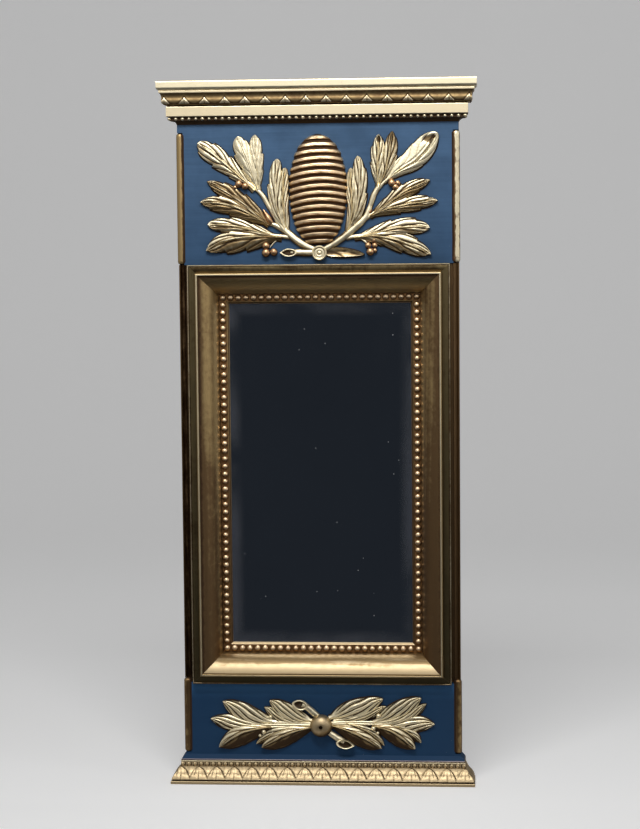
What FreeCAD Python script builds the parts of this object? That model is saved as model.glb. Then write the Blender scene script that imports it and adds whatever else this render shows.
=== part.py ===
import FreeCAD, Part
import math
import os
import Sketcher
from FreeCAD import Placement, Rotation, Vector

# Gilded pier mirror in the late Gustavian manner: a pine carcass with two painted panels,
# a pearl-edged frame round the plate, carved laurel and a ribbed egg, a cornice and a flared foot.
# +Z is up and -Y is the front; the origin is the middle of the foot. Millimetres.

DOC = FreeCAD.newDocument("pier_mirror")

# Driving sizes: name, millimetres, what it is.
SIZES = [
    ("overall_height", 900.0, "foot to the top of the cornice board"),
    ("body_width", 356.0, "across the carcass and the painted panels"),
    ("carcass_depth", 30.0, "painted face to the back"),
    ("panel_thickness", 12.0, "painted boards"),
    ("joint_gap", 0.05, "play of a tenon or nail in its hole"),
    ("fit_gap", 0.3, "play between pieces that lie side by side"),
    ("overrun", 2.0, "how far a cutting shape runs past the wood"),
    ("stile_width", 30.0, "carcass uprights"),
    ("top_rail_height", 60.0, "carcass rail behind the cornice"),
    ("cross_rail_height", 34.0, "carcass rails above and below the plate"),
    ("bottom_rail_height", 40.0, "carcass rail at the foot"),
    ("tenon_length", 14.0, "into the uprights"),
    ("tenon_thickness", 6.0, "middle third of the rail"),
    ("tenon_shoulder", 5.0, "above and below each tenon"),
    ("rod_radius", 4.6, "gilded corner rods"),
    ("rod_proud", 1.5, "how far a rod stands out of the corner"),
    ("rod_flat", 0.6, "planed off each glued side of a rod"),
    ("rod_stop", 10.0, "painted corner between an upper rod and the cornice"),
    ("rod_rise", 6.0, "how far a lower rod rises past the panel"),
    ("rod_foot_stop", 2.5, "between a lower rod and the foot moulding"),
    ("edge_fillet_width", 1.6, "outer line of the edge strips"),
    ("edge_fillet_inset", 0.6, "edge strip line behind the painted face"),
    ("edge_bead_width", 6.0, "round of the edge strips"),
    ("edge_bead_inset", 2.4, "top of that round behind the painted face"),
    ("edge_bead_radius", 3.6, "roundness of that bead"),
    ("edge_quirk_inset", 4.6, "bottom of the edge strip's hollows"),
    ("frame_margin", 11.5, "edge of the body to the outside of the gilded frame"),
    ("frame_foot", 130.0, "underside of the frame above the foot"),
    ("upper_field_height", 177.0, "painted panel seen between the frame and the cornice"),
    ("rail_width", 50.0, "outside of the frame to the sight edge"),
    ("band_width", 10.6, "dark outer slip of the frame"),
    ("band_stand", 9.6, "outer bead of the slip ahead of the painted face"),
    ("band_bead_width", 1.8, "outer bead of the slip"),
    ("band_hollow_radius", 14.0, "hollow of the slip"),
    ("band_hollow_drop", 1.2, "hollow's outer edge behind the bead"),
    ("band_hollow_rise", 1.4, "hollow's inner edge ahead of the bead"),
    ("fillet_stand", 17.0, "bright fillet ahead of the painted face"),
    ("fillet_width", 3.6, "bright fillet"),
    ("fillet_bevel", 0.7, "eased outer edge of the bright fillet"),
    ("fillet_step", 1.5, "fillet down to the head of the cove"),
    ("cove_width", 23.4, "across the cove"),
    ("cove_fall", 28.3, "head of the cove to its foot"),
    ("cove_radius", 30.0, "hollow of the cove"),
    ("bed_drop", 2.4, "foot of the cove to the bed of the pearls"),
    ("bed_width", 9.0, "bed of the pearls"),
    ("lip_bead", 0.6, "raised edge between the pearls and the sight edge"),
    ("lip_drop", 1.7, "slope of the lip towards the plate"),
    ("lip_thickness", 1.2, "lip at the sight edge"),
    ("rebate_width", 6.0, "lip over the plate"),
    ("rebate_depth", 3.5, "room for the plate"),
    ("plate_thickness", 3.3, "silvered glass"),
    ("pearl_strip_thickness", 1.2, "strip that carries a row of pearls"),
    ("pearl_radius", 4.1, "pearls of the frame"),
    ("pearl_height", 3.8, "pearl above its strip"),
    ("pearl_pitch", 9.9, "aimed spacing of the pearls"),
    ("back_board_thickness", 6.0, "boards behind the plate"),
    ("back_board_gap", 0.4, "between two back boards"),
    ("nail_inset", 22.0, "nail to the edge of its board"),
    ("nail_shank", 1.8, "across a forged nail"),
    ("nail_head_width", 5.0, "across a nail's head"),
    ("nail_head_height", 1.2, "point of a nail's head over the wood"),
    ("nail_grip", 5.0, "nail into the frame"),
    ("top_board_height", 12.3, "cornice board"),
    ("top_overhang", 23.0, "cornice board past the body"),
    ("nosing_radius", 5.8, "rounded edge of the cornice board"),
    ("cornice_height", 54.5, "top of the cornice to the painted panel"),
    ("cyma_height", 17.7, "leaf moulding of the cornice, fillet included"),
    ("cyma_fillet_height", 3.2, "fillet over the leaf moulding"),
    ("cyma_fillet_out", 20.0, "fillet past the body"),
    ("cyma_head_out", 19.4, "head of the leaf moulding past the body"),
    ("cyma_foot_out", 15.3, "foot of the leaf moulding past the body"),
    ("cyma_radius", 9.0, "both curves of the leaf moulding"),
    ("fascia_quirk_height", 2.0, "shadow line over the fascia"),
    ("fascia_quirk_out", 10.6, "shadow line past the body"),
    ("fascia_height", 12.7, "plain band of the cornice"),
    ("fascia_out", 12.1, "plain band past the body"),
    ("soffit_bed_height", 4.6, "bed of the small pearls under the band"),
    ("soffit_bed_out", 8.4, "bed of the small pearls past the body"),
    ("soffit_cove_radius", 7.4, "hollow under the small pearls"),
    ("foot_board_height", 5.0, "plinth board"),
    ("foot_board_out", 18.2, "plinth board past the body"),
    ("foot_board_bevel", 0.8, "eased edge of the plinth board"),
    ("foot_cyma_height", 18.5, "flared leaf moulding of the foot"),
    ("foot_cyma_foot_out", 17.4, "foot of the flare past the body"),
    ("foot_cyma_head_out", 7.4, "head of the flare past the body"),
    ("foot_cyma_radius", 17.0, "both curves of the flare"),
    ("foot_bead_height", 5.0, "bed of the foot's small pearls"),
    ("foot_bead_out", 6.4, "that bed past the body"),
    ("foot_fillet_height", 2.3, "fillet over the small pearls"),
    ("foot_fillet_out", 5.6, "that fillet past the body"),
    ("foot_splay_height", 5.2, "painted splay above the foot"),
    ("egg_width", 73.0, "ribbed egg"),
    ("egg_relief", 15.0, "egg above its panel"),
    ("egg_rib_pitch", 8.7, "spacing of the ribs"),
    ("egg_groove_depth", 2.4, "grooves between the ribs"),
    ("rosette_radius", 9.6, "turned rosette under the egg"),
    ("rosette_height", 9.5, "rosette above its panel"),
    ("boss_radius", 13.8, "turned boss of the lower panel"),
    ("boss_height", 15.0, "boss above its panel"),
    ("boss_eye_radius", 2.6, "pin hole of the boss"),
    ("boss_eye_depth", 3.0, "pin hole of the boss"),
    ("leaf_edge", 2.2, "edge of a leaf above its panel"),
    ("leaf_ridge", 6.4, "midrib of a leaf above its panel"),
    ("stem_radius", 3.6, "thickest stems"),
    ("stem_height", 6.6, "thickest stems above their panel"),
    ("berry_radius", 4.3, "laurel berries"),
    ("berry_height", 6.6, "berries above their panel"),
    ("cup_radius", 6.8, "cut stem ends of the lower panel"),
    ("cup_depth", 3.4, "hollow of a cut stem"),
    ("cup_height", 10.4, "cut stem above its panel"),
    ("pivot_drop", 26.0, "hanging ring's pivot below the cornice"),
    ("recess_width", 34.0, "recess for the hanging ring"),
    ("recess_above", 7.0, "recess above the pivot"),
    ("recess_below", 28.0, "recess below the pivot"),
    ("hanger_width", 20.0, "iron hanger plate"),
    ("hanger_height", 27.0, "hanger plate below the pivot"),
    ("hanger_thickness", 2.0, "hanger plate"),
    ("knuckle_length", 10.0, "eye of the hanger plate"),
    ("knuckle_wall", 1.35, "iron round the pivot"),
    ("wire_radius", 2.0, "hanging ring"),
    ("ring_half_width", 11.0, "middle of the bar to the middle of a leg"),
    ("ring_leg", 8.0, "straight legs of the ring"),
    ("pivot_play", 0.06, "ring's bar in the eye, all round"),
    ("hanger_nail_drop", 9.5, "upper nail of the hanger below the pivot"),
    ("hanger_nail_spacing", 11.0, "between the hanger's nails"),
    ("hanger_nail_grip", 6.0, "hanger nail into the rail"),
]


class Size:
    """A length that keeps its number together with its formula over the sheet."""

    def __init__(self, value, text):
        self.value = value
        self.text = text

    def __add__(self, other):
        other = as_size(other)
        return Size(self.value + other.value, "(%s + %s)" % (self.text, other.text))

    def __sub__(self, other):
        other = as_size(other)
        return Size(self.value - other.value, "(%s - %s)" % (self.text, other.text))

    def __mul__(self, factor):
        return Size(self.value * factor, "(%s * %s)" % (self.text, factor))

    def __truediv__(self, factor):
        return Size(self.value / factor, "(%s / %s)" % (self.text, factor))

    def __neg__(self):
        return Size(-self.value, "(0 - %s)" % self.text)


def as_size(item):
    """A plain number counts as a size too; only zero is ever given that way."""
    if isinstance(item, Size):
        return item
    return Size(float(item), str(float(item)))


def fill_sheet():
    """Writes the driving sizes to the spreadsheet and returns them by name."""
    sheet = DOC.addObject("Spreadsheet::Sheet", "Sizes")
    named = {}
    for row, (name, value, note) in enumerate(SIZES, start=1):
        sheet.set("A%d" % row, name)
        sheet.set("B%d" % row, str(value))
        sheet.set("C%d" % row, note)
        sheet.setAlias("B%d" % row, name)
    DOC.recompute()
    for name, value, note in SIZES:
        named[name] = Size(float(sheet.get(name)), "Sizes.%s" % name)
    return named


S = fill_sheet()
ZERO = as_size(0)
FRONT, RIGHT, LEFT = "front", "right", "left"
SIDE_SIGNS = {RIGHT: 1, LEFT: -1}

# Places that several pieces share
half_body = S["body_width"] / 2
depth_total = S["top_overhang"] + S["carcass_depth"]
face_y = S["top_overhang"] - depth_total / 2
back_y = depth_total / 2
carcass_y = face_y + S["panel_thickness"]
rail_depth = S["carcass_depth"] - S["panel_thickness"]
board_under = S["overall_height"] - S["top_board_height"]
cornice_under = S["overall_height"] - S["cornice_height"]
frame_top = cornice_under - S["upper_field_height"]
frame_width = S["body_width"] - S["frame_margin"] * 2
frame_height = frame_top - S["frame_foot"]
frame_middle = S["frame_foot"] + frame_height / 2
half_frame_width = frame_width / 2
half_frame_height = frame_height / 2
fillet_y = face_y - S["fillet_stand"]
seat_width = S["stile_width"] - S["frame_margin"]
foot_cyma_z = S["foot_board_height"]
foot_bead_z = foot_cyma_z + S["foot_cyma_height"]
foot_fillet_z = foot_bead_z + S["foot_bead_height"]
foot_splay_z = foot_fillet_z + S["foot_fillet_height"]
foot_top = foot_splay_z + S["foot_splay_height"]

PARTS = []
CUTS = []


def finished(item, label):
    """Names a finished piece and puts it on the list of files."""
    item.Label = label
    PARTS.append(item)
    return item


def bind(item, path, size):
    """Ties one property of an object to the sheet."""
    item.setExpression(path, as_size(size).text)


def place(item, x, y, z, axis=Vector(0, 0, 1), angle=0):
    """Sets an object's place, tied to the sheet, and turns it about one axis."""
    x, y, z = as_size(x), as_size(y), as_size(z)
    item.Placement = Placement(Vector(x.value, y.value, z.value), Rotation(axis, angle))
    for letter, size in zip("xyz", (x, y, z)):
        if size.value or size.text != ZERO.text:
            bind(item, "Placement.Base." + letter, size)


def new_body(label):
    return finished(DOC.addObject("PartDesign::Body", label), label)


def arc_through(start, end, radius, side):
    """Minor arc from start to end that bulges to the left where side is 1, to the right where it is -1."""
    chord = end - start
    half = chord.Length / 2
    sagitta = radius - math.sqrt(radius * radius - half * half)
    across = Vector(-chord.y, chord.x, 0)
    across.normalize()
    middle = (start + end) * 0.5 + across * (side * sagitta)
    return Part.Arc(start, middle, end)


def new_sketch(body, plane, offset=ZERO):
    """Sketch on one of the body's own planes, moved along the plane's normal."""
    sketch = body.newObject("Sketcher::SketchObject", body.Name + "_sketch")
    planes = [item for item in body.Origin.OriginFeatures if item.Role == plane]
    sketch.AttachmentSupport = (planes[0], [""])
    sketch.MapMode = "FlatFace"
    if offset is not ZERO:
        sketch.AttachmentOffset = Placement(Vector(0, 0, offset.value), Rotation())
        bind(sketch, "AttachmentOffset.Base.z", offset)
    return sketch


def pin_point(sketch, piece, end, along, size):
    """Holds one coordinate of a point at its size from the sketch's origin."""
    if size.text == ZERO.text:
        axis = -2 if along == "DistanceX" else -1
        sketch.addConstraint(Sketcher.Constraint("PointOnObject", piece, end, axis))
        return
    index = sketch.addConstraint(Sketcher.Constraint(along, -1, 1, piece, end, size.value))
    bind(sketch, "Constraints[%d]" % index, size)


def add_outline(sketch, corners):
    """Closed outline; a corner is (across, up), or (across, up, radius, side) where an arc follows it."""
    points = [Vector(as_size(c[0]).value, as_size(c[1]).value, 0) for c in corners]
    pieces = []
    for index, corner in enumerate(corners):
        start, end = points[index], points[(index + 1) % len(points)]
        if len(corner) == 4:
            curve = arc_through(start, end, corner[2].value, corner[3])
        else:
            curve = Part.LineSegment(start, end)
        piece = sketch.addGeometry(curve)
        begin = sketch.getPoint(piece, 1)
        first = 1 if (begin - start).Length < (begin - end).Length else 2
        pieces.append((piece, first, 3 - first))
    for index, corner in enumerate(corners):
        piece, first, last = pieces[index]
        following, following_first = pieces[(index + 1) % len(pieces)][:2]
        sketch.addConstraint(Sketcher.Constraint("Coincident", piece, last, following, following_first))
        pin_point(sketch, piece, first, "DistanceX", as_size(corner[0]))
        pin_point(sketch, piece, first, "DistanceY", as_size(corner[1]))
        if len(corner) == 4:
            radius = sketch.addConstraint(Sketcher.Constraint("Radius", piece, corner[2].value))
            bind(sketch, "Constraints[%d]" % radius, corner[2])
    return sketch


def add_rectangle(sketch, low_x, low_y, high_x, high_y):
    return add_outline(sketch, [(low_x, low_y), (high_x, low_y), (high_x, high_y), (low_x, high_y)])


def add_circle(sketch, x, y, radius):
    x, y = as_size(x), as_size(y)
    piece = sketch.addGeometry(Part.Circle(Vector(x.value, y.value, 0), Vector(0, 0, 1), radius.value))
    pin_point(sketch, piece, 3, "DistanceX", x)
    pin_point(sketch, piece, 3, "DistanceY", y)
    index = sketch.addConstraint(Sketcher.Constraint("Radius", piece, radius.value))
    bind(sketch, "Constraints[%d]" % index, radius)


def pad(body, sketch, length, symmetric=False, back_length=None):
    """Pads a sketch along its normal, both ways from it, or by two lengths."""
    feature = body.newObject("PartDesign::Pad", body.Name + "_pad")
    feature.Profile = sketch
    if symmetric:
        feature.SideType = "Symmetric"
    if back_length is not None:
        feature.SideType = "Two sides"
        feature.Length2 = back_length.value
        bind(feature, "Length2", back_length)
    feature.Length = length.value
    bind(feature, "Length", length)
    return feature


def pocket(body, sketch, depth=None, toward_normal=False):
    """Cuts a sketch to a depth, against its normal unless told otherwise, or right through both ways."""
    feature = body.newObject("PartDesign::Pocket", body.Name + "_pocket")
    feature.Profile = sketch
    if depth is None:
        feature.Type = "ThroughAll"
        feature.SideType = "Symmetric"
    else:
        feature.Length = depth.value
        bind(feature, "Length", depth)
        feature.Reversed = toward_normal
    CUTS.append((body, feature))
    return feature


def board(label, width, depth, height, x, y, z, material_side=1):
    """Plain board with one lower corner at its place; width runs towards +X, or -X where the side is -1."""
    body = new_body(label)
    sketch = new_sketch(body, "XY_Plane")
    add_rectangle(sketch, ZERO, ZERO, width * material_side, depth)
    pad(body, sketch, height)
    place(body, x, y, z)
    return body


# Carcass

RAILS = [
    ("top_rail", S["top_rail_height"], board_under - S["top_rail_height"]),
    ("upper_rail", S["cross_rail_height"], frame_top - seat_width),
    ("lower_rail", S["cross_rail_height"], S["frame_foot"] + seat_width - S["cross_rail_height"]),
    ("bottom_rail", S["bottom_rail_height"], S["foot_board_height"]),
]


def carcass_stiles():
    """Two uprights with a mortise for each rail; the right one is the left one turned round."""
    length = board_under - S["foot_board_height"]
    low = (rail_depth - S["tenon_thickness"]) / 2 - S["joint_gap"]
    high = (rail_depth + S["tenon_thickness"]) / 2 + S["joint_gap"]
    for side, turn, y in ((LEFT, 0, carcass_y), (RIGHT, 180, back_y)):
        body = board("stile_" + side, S["stile_width"], rail_depth, length, ZERO, ZERO, ZERO)
        mortises = new_sketch(body, "YZ_Plane", S["stile_width"])
        for name, height, z in RAILS:
            bottom = z - S["foot_board_height"] + S["tenon_shoulder"] - S["joint_gap"]
            top = z - S["foot_board_height"] + height - S["tenon_shoulder"] + S["joint_gap"]
            add_rectangle(mortises, low, bottom, high, top)
        pocket(body, mortises, S["tenon_length"] + S["joint_gap"])
        place(body, half_body * SIDE_SIGNS[side], y, S["foot_board_height"], Vector(0, 0, 1), turn)


def carcass_rails():
    """Four rails with a tenon at each end; the top one has the recess of the hanging ring."""
    between = S["body_width"] - S["stile_width"] * 2
    low = (rail_depth - S["tenon_thickness"]) / 2
    high = (rail_depth + S["tenon_thickness"]) / 2
    for name, height, z in RAILS:
        body = new_body(name)
        plain = new_sketch(body, "YZ_Plane")
        add_rectangle(plain, ZERO, ZERO, rail_depth, height)
        pad(body, plain, between, symmetric=True)
        tenons = new_sketch(body, "YZ_Plane")
        add_rectangle(tenons, low, S["tenon_shoulder"], high, height - S["tenon_shoulder"])
        pad(body, tenons, between + S["tenon_length"] * 2, symmetric=True)
        if name == "top_rail":
            cut_ring_recess(body, z)
        place(body, ZERO, carcass_y, z)


pivot_z = board_under - S["pivot_drop"] + S["top_board_height"]
knuckle_radius = S["wire_radius"] + S["pivot_play"] + S["knuckle_wall"]
recess_depth = S["hanger_thickness"] + knuckle_radius * 2 + S["fit_gap"]
hanger_y = back_y - recess_depth
pivot_y = hanger_y + S["hanger_thickness"] + knuckle_radius
upper_nail_z = pivot_z - S["hanger_nail_drop"]
hanger_nail_places = [upper_nail_z, upper_nail_z - S["hanger_nail_spacing"]]
RING_SIDES = 8
RING_STEPS = 10


def cut_ring_recess(body, rail_z):
    """Recess in the back of the rail and the two nail holes in its floor."""
    pivot = pivot_z - rail_z
    half_width = S["recess_width"] / 2
    recess = new_sketch(body, "XZ_Plane", -rail_depth)
    add_rectangle(recess, -half_width, pivot - S["recess_below"], half_width, pivot + S["recess_above"])
    pocket(body, recess, recess_depth, toward_normal=True)
    holes = new_sketch(body, "XZ_Plane", recess_depth - rail_depth)
    for z in hanger_nail_places:
        add_nail_hole(holes, ZERO, z - rail_z)
    pocket(body, holes, S["hanger_nail_grip"] + S["joint_gap"], toward_normal=True)


# Painted panels and what stands at their corners

rod_rebate = S["rod_radius"] * 2 - S["rod_proud"] - S["rod_flat"]
rod_inset = S["rod_radius"] - S["rod_proud"]
upper_rod_top = cornice_under - S["rod_stop"]
lower_rod_top = S["frame_foot"] + S["rod_rise"]
lower_rod_foot = foot_top + S["rod_foot_stop"]


def painted_panels():
    """Upper and lower painted boards, with stopped rebates for the corner rods."""
    for name, z, top, start, reach in (
        ("upper_panel", frame_top, board_under, ZERO, upper_rod_top - frame_top),
        ("lower_panel", S["foot_board_height"], S["frame_foot"], S["frame_foot"] - S["foot_board_height"],
         S["frame_foot"] - lower_rod_foot),
    ):
        body = board(name, S["body_width"], S["panel_thickness"], top - z, ZERO, ZERO, ZERO)
        rebates = new_sketch(body, "XY_Plane", start)
        add_rectangle(rebates, -S["overrun"], -S["overrun"], rod_rebate, rod_rebate)
        add_rectangle(rebates, S["body_width"] - rod_rebate, -S["overrun"],
                      S["body_width"] + S["overrun"], rod_rebate)
        pocket(body, rebates, reach, toward_normal=start is ZERO)
        place(body, -half_body, face_y, z)


def corner_rod(label, side, foot, top):
    """Round rod, planed flat on the two sides that are glued into the corner."""
    sign = SIDE_SIGNS[side]
    radius = S["rod_radius"]
    body = new_body(label)
    section = new_sketch(body, "XY_Plane")
    add_circle(section, ZERO, ZERO, radius)
    pad(body, section, top - foot)
    flats = new_sketch(body, "XY_Plane")
    flat, past = radius - S["rod_flat"], radius + S["overrun"]
    add_rectangle(flats, -past, flat, past, past)
    towards, beyond = flat * -sign, past * -sign
    add_outline(flats, [(towards, -past), (beyond, -past), (beyond, flat), (towards, flat)])
    pocket(body, flats)
    place(body, (half_body - rod_inset) * sign, face_y + rod_inset, foot)


def edge_strip(side):
    """Strip on the upright beside the frame: an outer line, a hollow, a round and a second hollow."""
    sign = SIDE_SIGNS[side]
    body = new_body("edge_strip_" + side)
    inner = -S["frame_margin"]
    line = -S["edge_fillet_width"]
    round_end = line - S["edge_bead_width"]
    quirk = S["edge_quirk_inset"]
    corners = [
        (inner * sign, S["panel_thickness"]),
        (inner * sign, quirk),
        (round_end * sign, quirk),
        (round_end * sign, S["edge_bead_inset"], S["edge_bead_radius"], sign * -1),
        (line * sign, S["edge_bead_inset"]),
        (line * sign, S["edge_fillet_inset"]),
        (ZERO, S["edge_fillet_inset"]),
        (ZERO, S["panel_thickness"]),
    ]
    sketch = new_sketch(body, "XY_Plane")
    add_outline(sketch, corners)
    pad(body, sketch, frame_top - lower_rod_top)
    place(body, half_body * sign, face_y, lower_rod_top)


# Gilded frame round the plate; depths are measured from the front of the bright fillet

FRAME_SIDES = [
    ("top", 0, half_frame_width, half_frame_height),
    ("right", 90, half_frame_height, half_frame_width),
    ("bottom", 180, half_frame_width, half_frame_height),
    ("left", 270, half_frame_height, half_frame_width),
]

seat_depth = S["fillet_stand"] + S["panel_thickness"]
cove_start = S["band_width"] + S["fillet_width"]
cove_end = cove_start + S["cove_width"]
bed_end = cove_end + S["bed_width"]
cove_foot_depth = S["fillet_step"] + S["cove_fall"]
bed_depth = cove_foot_depth + S["bed_drop"]
lip_front = bed_depth - S["lip_bead"]
rebate_front = lip_front + S["lip_drop"] + S["lip_thickness"]
frame_back = rebate_front + S["rebate_depth"]
band_depth = S["fillet_stand"] - S["band_stand"]


def place_on_frame(item, angle):
    place(item, ZERO, fillet_y, frame_middle, Vector(0, 1, 0), angle)


def frame_member(label, angle, half_long, half_high, section, reach, nails=()):
    """One mitred member: its section, given as (in from the outside, depth), carried along and mitred."""
    body = new_body(label)
    profile = new_sketch(body, "YZ_Plane")
    add_outline(profile, [(corner[1], half_high - corner[0]) + tuple(corner[2:]) for corner in section])
    pad(body, profile, half_long * 2, symmetric=True)
    mitres = new_sketch(body, "XZ_Plane")
    past = S["overrun"]
    for sign in (1, -1):
        outer = (half_long + past) * sign
        inner = (half_long - reach - past) * sign
        low = half_high - reach - past
        add_outline(mitres, [(outer, half_high + past), (inner, low), (outer, low)])
    pocket(body, mitres)
    if nails:
        holes = new_sketch(body, "XZ_Plane", -frame_back)
        for along in nails:
            add_nail_hole(holes, along, half_high - nail_line)
        pocket(body, holes, S["nail_grip"] + S["joint_gap"], toward_normal=True)
    place_on_frame(body, angle)


def frame_rails():
    """Four rails with the bright fillet, the cove, the bed of the pearls, the lip and the rebate."""
    step_in = seat_width + S["fit_gap"]
    section = [
        (S["band_width"], seat_depth),
        (S["band_width"], S["fillet_bevel"]),
        (S["band_width"] + S["fillet_bevel"], ZERO),
        (cove_start, ZERO),
        (cove_start, S["fillet_step"], S["cove_radius"], -1),
        (cove_end, cove_foot_depth),
        (cove_end, bed_depth),
        (bed_end, bed_depth),
        (bed_end, lip_front),
        (S["rail_width"], lip_front + S["lip_drop"]),
        (S["rail_width"], rebate_front),
        (S["rail_width"] - S["rebate_width"], rebate_front),
        (S["rail_width"] - S["rebate_width"], frame_back),
        (step_in, frame_back),
        (step_in, seat_depth),
    ]
    for name, angle, half_long, half_high in FRAME_SIDES:
        nails = nail_places() if name in (LEFT, RIGHT) else ()
        frame_member("frame_" + name, angle, half_long, half_high, section, S["rail_width"], nails)


def frame_bands():
    """Dark outer slips of the frame: a small bead and a hollow that rises to the fillet."""
    section = [
        (ZERO, seat_depth),
        (ZERO, band_depth),
        (S["band_bead_width"], band_depth),
        (S["band_bead_width"], band_depth + S["band_hollow_drop"], S["band_hollow_radius"], -1),
        (S["band_width"], band_depth - S["band_hollow_rise"]),
        (S["band_width"], seat_depth),
    ]
    for name, angle, half_long, half_high in FRAME_SIDES:
        frame_member("frame_band_" + name, angle, half_long, half_high, section, S["band_width"])


def faceted(rings, flat=False, apex=None):
    """Solid of flat facets through rings of points that run the same way round, or up to a last point."""
    def facet(points):
        return Part.Face(Part.makePolygon(list(points) + [points[0]]))

    faces = [facet(rings[0])]
    for lower, upper in zip(rings, rings[1:]):
        for index, start in enumerate(lower):
            following = (index + 1) % len(lower)
            if flat:
                faces.append(facet([start, lower[following], upper[following], upper[index]]))
            else:
                faces.append(facet([start, lower[following], upper[following]]))
                faces.append(facet([start, upper[following], upper[index]]))
    last = rings[-1]
    if apex is None:
        faces.append(facet(last))
    else:
        faces += [facet([start, last[(index + 1) % len(last)], apex]) for index, start in enumerate(last)]
    solid = Part.Solid(Part.Shell(faces))
    if solid.Volume < 0:
        solid.reverse()
    return solid


def round_ring(x, y, z, radius, sides):
    """Corners of a regular ring that faces the viewer."""
    turns = [2 * math.pi * (corner + 0.5) / sides for corner in range(sides)]
    return [Vector(x + radius * math.cos(turn), y, z + radius * math.sin(turn)) for turn in turns]


BEAD_SIDES = 8
BEAD_SHOULDER_SHARES = (0.8, 0.62)


def bead(x, z, radius, height, floor_y):
    """Round bead of few facets that stands on a floor and rises towards -Y."""
    radius_share, height_share = BEAD_SHOULDER_SHARES
    rings = [round_ring(x, floor_y, z, radius, BEAD_SIDES),
             round_ring(x, floor_y - height * height_share, z, radius * radius_share, BEAD_SIDES)]
    return faceted(rings, flat=True, apex=Vector(x, floor_y - height, z))


def pearl_rows():
    """A mitred strip with its pearls for each side; the corner pearls belong to the top and bottom rows."""
    play = S["fit_gap"].value / 2
    outer, inner = cove_end.value + play, bed_end.value - play
    back = bed_depth.value
    front = back - S["pearl_strip_thickness"].value
    line = (outer + inner) / 2
    for name, angle, half_long, half_high in FRAME_SIDES:
        long, high = half_long.value, half_high.value
        corners = [Vector(-long + outer, back, high - outer), Vector(long - outer, back, high - outer),
                   Vector(long - inner, back, high - inner), Vector(-long + inner, back, high - inner)]
        strip = Part.Face(Part.makePolygon(corners + corners[:1])).extrude(Vector(0, front - back, 0))
        spaces = round(2 * (long - line) / S["pearl_pitch"].value)
        pitch = 2 * (long - line) / spaces
        first, last = (0, spaces) if name in ("top", "bottom") else (1, spaces - 1)
        pearls = [bead(line - long + pitch * count, high - line, S["pearl_radius"].value,
                       S["pearl_height"].value, front) for count in range(first, last + 1)]
        row = DOC.addObject("Part::Feature", "pearl_row_" + name)
        row.Shape = strip.multiFuse(pearls)
        place_on_frame(row, angle)
        finished(row, "pearl_row_" + name)


# Plate and the boards behind it

BACK_BOARD_NAMES = ["back_board_lower", "back_board_middle", "back_board_upper"]
nail_line = (seat_width + S["rail_width"] - S["rebate_width"]) / 2
back_foot = S["frame_foot"] + seat_width
back_height = frame_height - seat_width * 2
back_board_height = back_height / len(BACK_BOARD_NAMES) - S["back_board_gap"]


def back_board_foot(count):
    return back_foot + back_height / len(BACK_BOARD_NAMES) * count + S["back_board_gap"] / 2


def nail_places():
    """Heights of the nails above the middle of the frame, two for each board."""
    places = []
    for count in range(len(BACK_BOARD_NAMES)):
        foot = back_board_foot(count) - frame_middle
        places.append(foot + S["nail_inset"])
        places.append(foot + back_board_height - S["nail_inset"])
    return places


def mirror_plate():
    glass = DOC.addObject("Part::Box", "mirror_plate")
    reach = S["rail_width"] - S["rebate_width"] + S["fit_gap"]
    bind(glass, "Length", frame_width - reach * 2)
    bind(glass, "Width", S["plate_thickness"])
    bind(glass, "Height", frame_height - reach * 2)
    place(glass, reach - half_frame_width, fillet_y + rebate_front, S["frame_foot"] + reach)
    finished(glass, "mirror_plate")


def add_nail_hole(sketch, x, z):
    """Square hole of a forged nail."""
    half = S["nail_shank"] / 2 + S["joint_gap"]
    x, z = as_size(x), as_size(z)
    add_rectangle(sketch, x - half, z - half, x + half, z + half)


def forged_nail(x, y, z, length):
    """Square shank with a low four-sided head, driven from the back."""
    def square(half, at_y):
        corners = ((-half, -half), (half, -half), (half, half), (-half, half))
        return [Vector(x + across, at_y, z + up) for across, up in corners]

    head, height = S["nail_head_width"].value / 2, S["nail_head_height"].value
    cap = faceted([square(head, y)], apex=Vector(x, y + height, z))
    half = S["nail_shank"].value / 2
    shank = faceted([square(half, y - length), square(half, y)], flat=True)
    return cap.fuse(shank).removeSplitter()


def back_boards():
    """Three boards across the back of the plate, nailed to the frame."""
    width = S["body_width"] - S["stile_width"] * 2 - S["fit_gap"] * 2
    for count, name in enumerate(BACK_BOARD_NAMES):
        body = board(name, width, S["back_board_thickness"], back_board_height, ZERO, ZERO, ZERO)
        holes = new_sketch(body, "XZ_Plane")
        for x in (width / 2 - (half_frame_width - nail_line), width / 2 + half_frame_width - nail_line):
            for z in (S["nail_inset"], back_board_height - S["nail_inset"]):
                add_nail_hole(holes, x, z)
        pocket(body, holes)
        place(body, -width / 2, fillet_y + frame_back, back_board_foot(count))


def back_nails():
    """Nails through the back boards, as one group."""
    head_y = (fillet_y + frame_back + S["back_board_thickness"]).value
    length = (S["back_board_thickness"] + S["nail_grip"]).value
    nails = []
    for sign in (1, -1):
        for z in nail_places():
            x = (half_frame_width - nail_line).value * sign
            nails.append(forged_nail(x, head_y, (frame_middle + z).value, length))
    group = DOC.addObject("Part::Feature", "back_nails")
    group.Shape = Part.makeCompound(nails)
    finished(group, "back_nails")


# Cornice and foot

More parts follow.
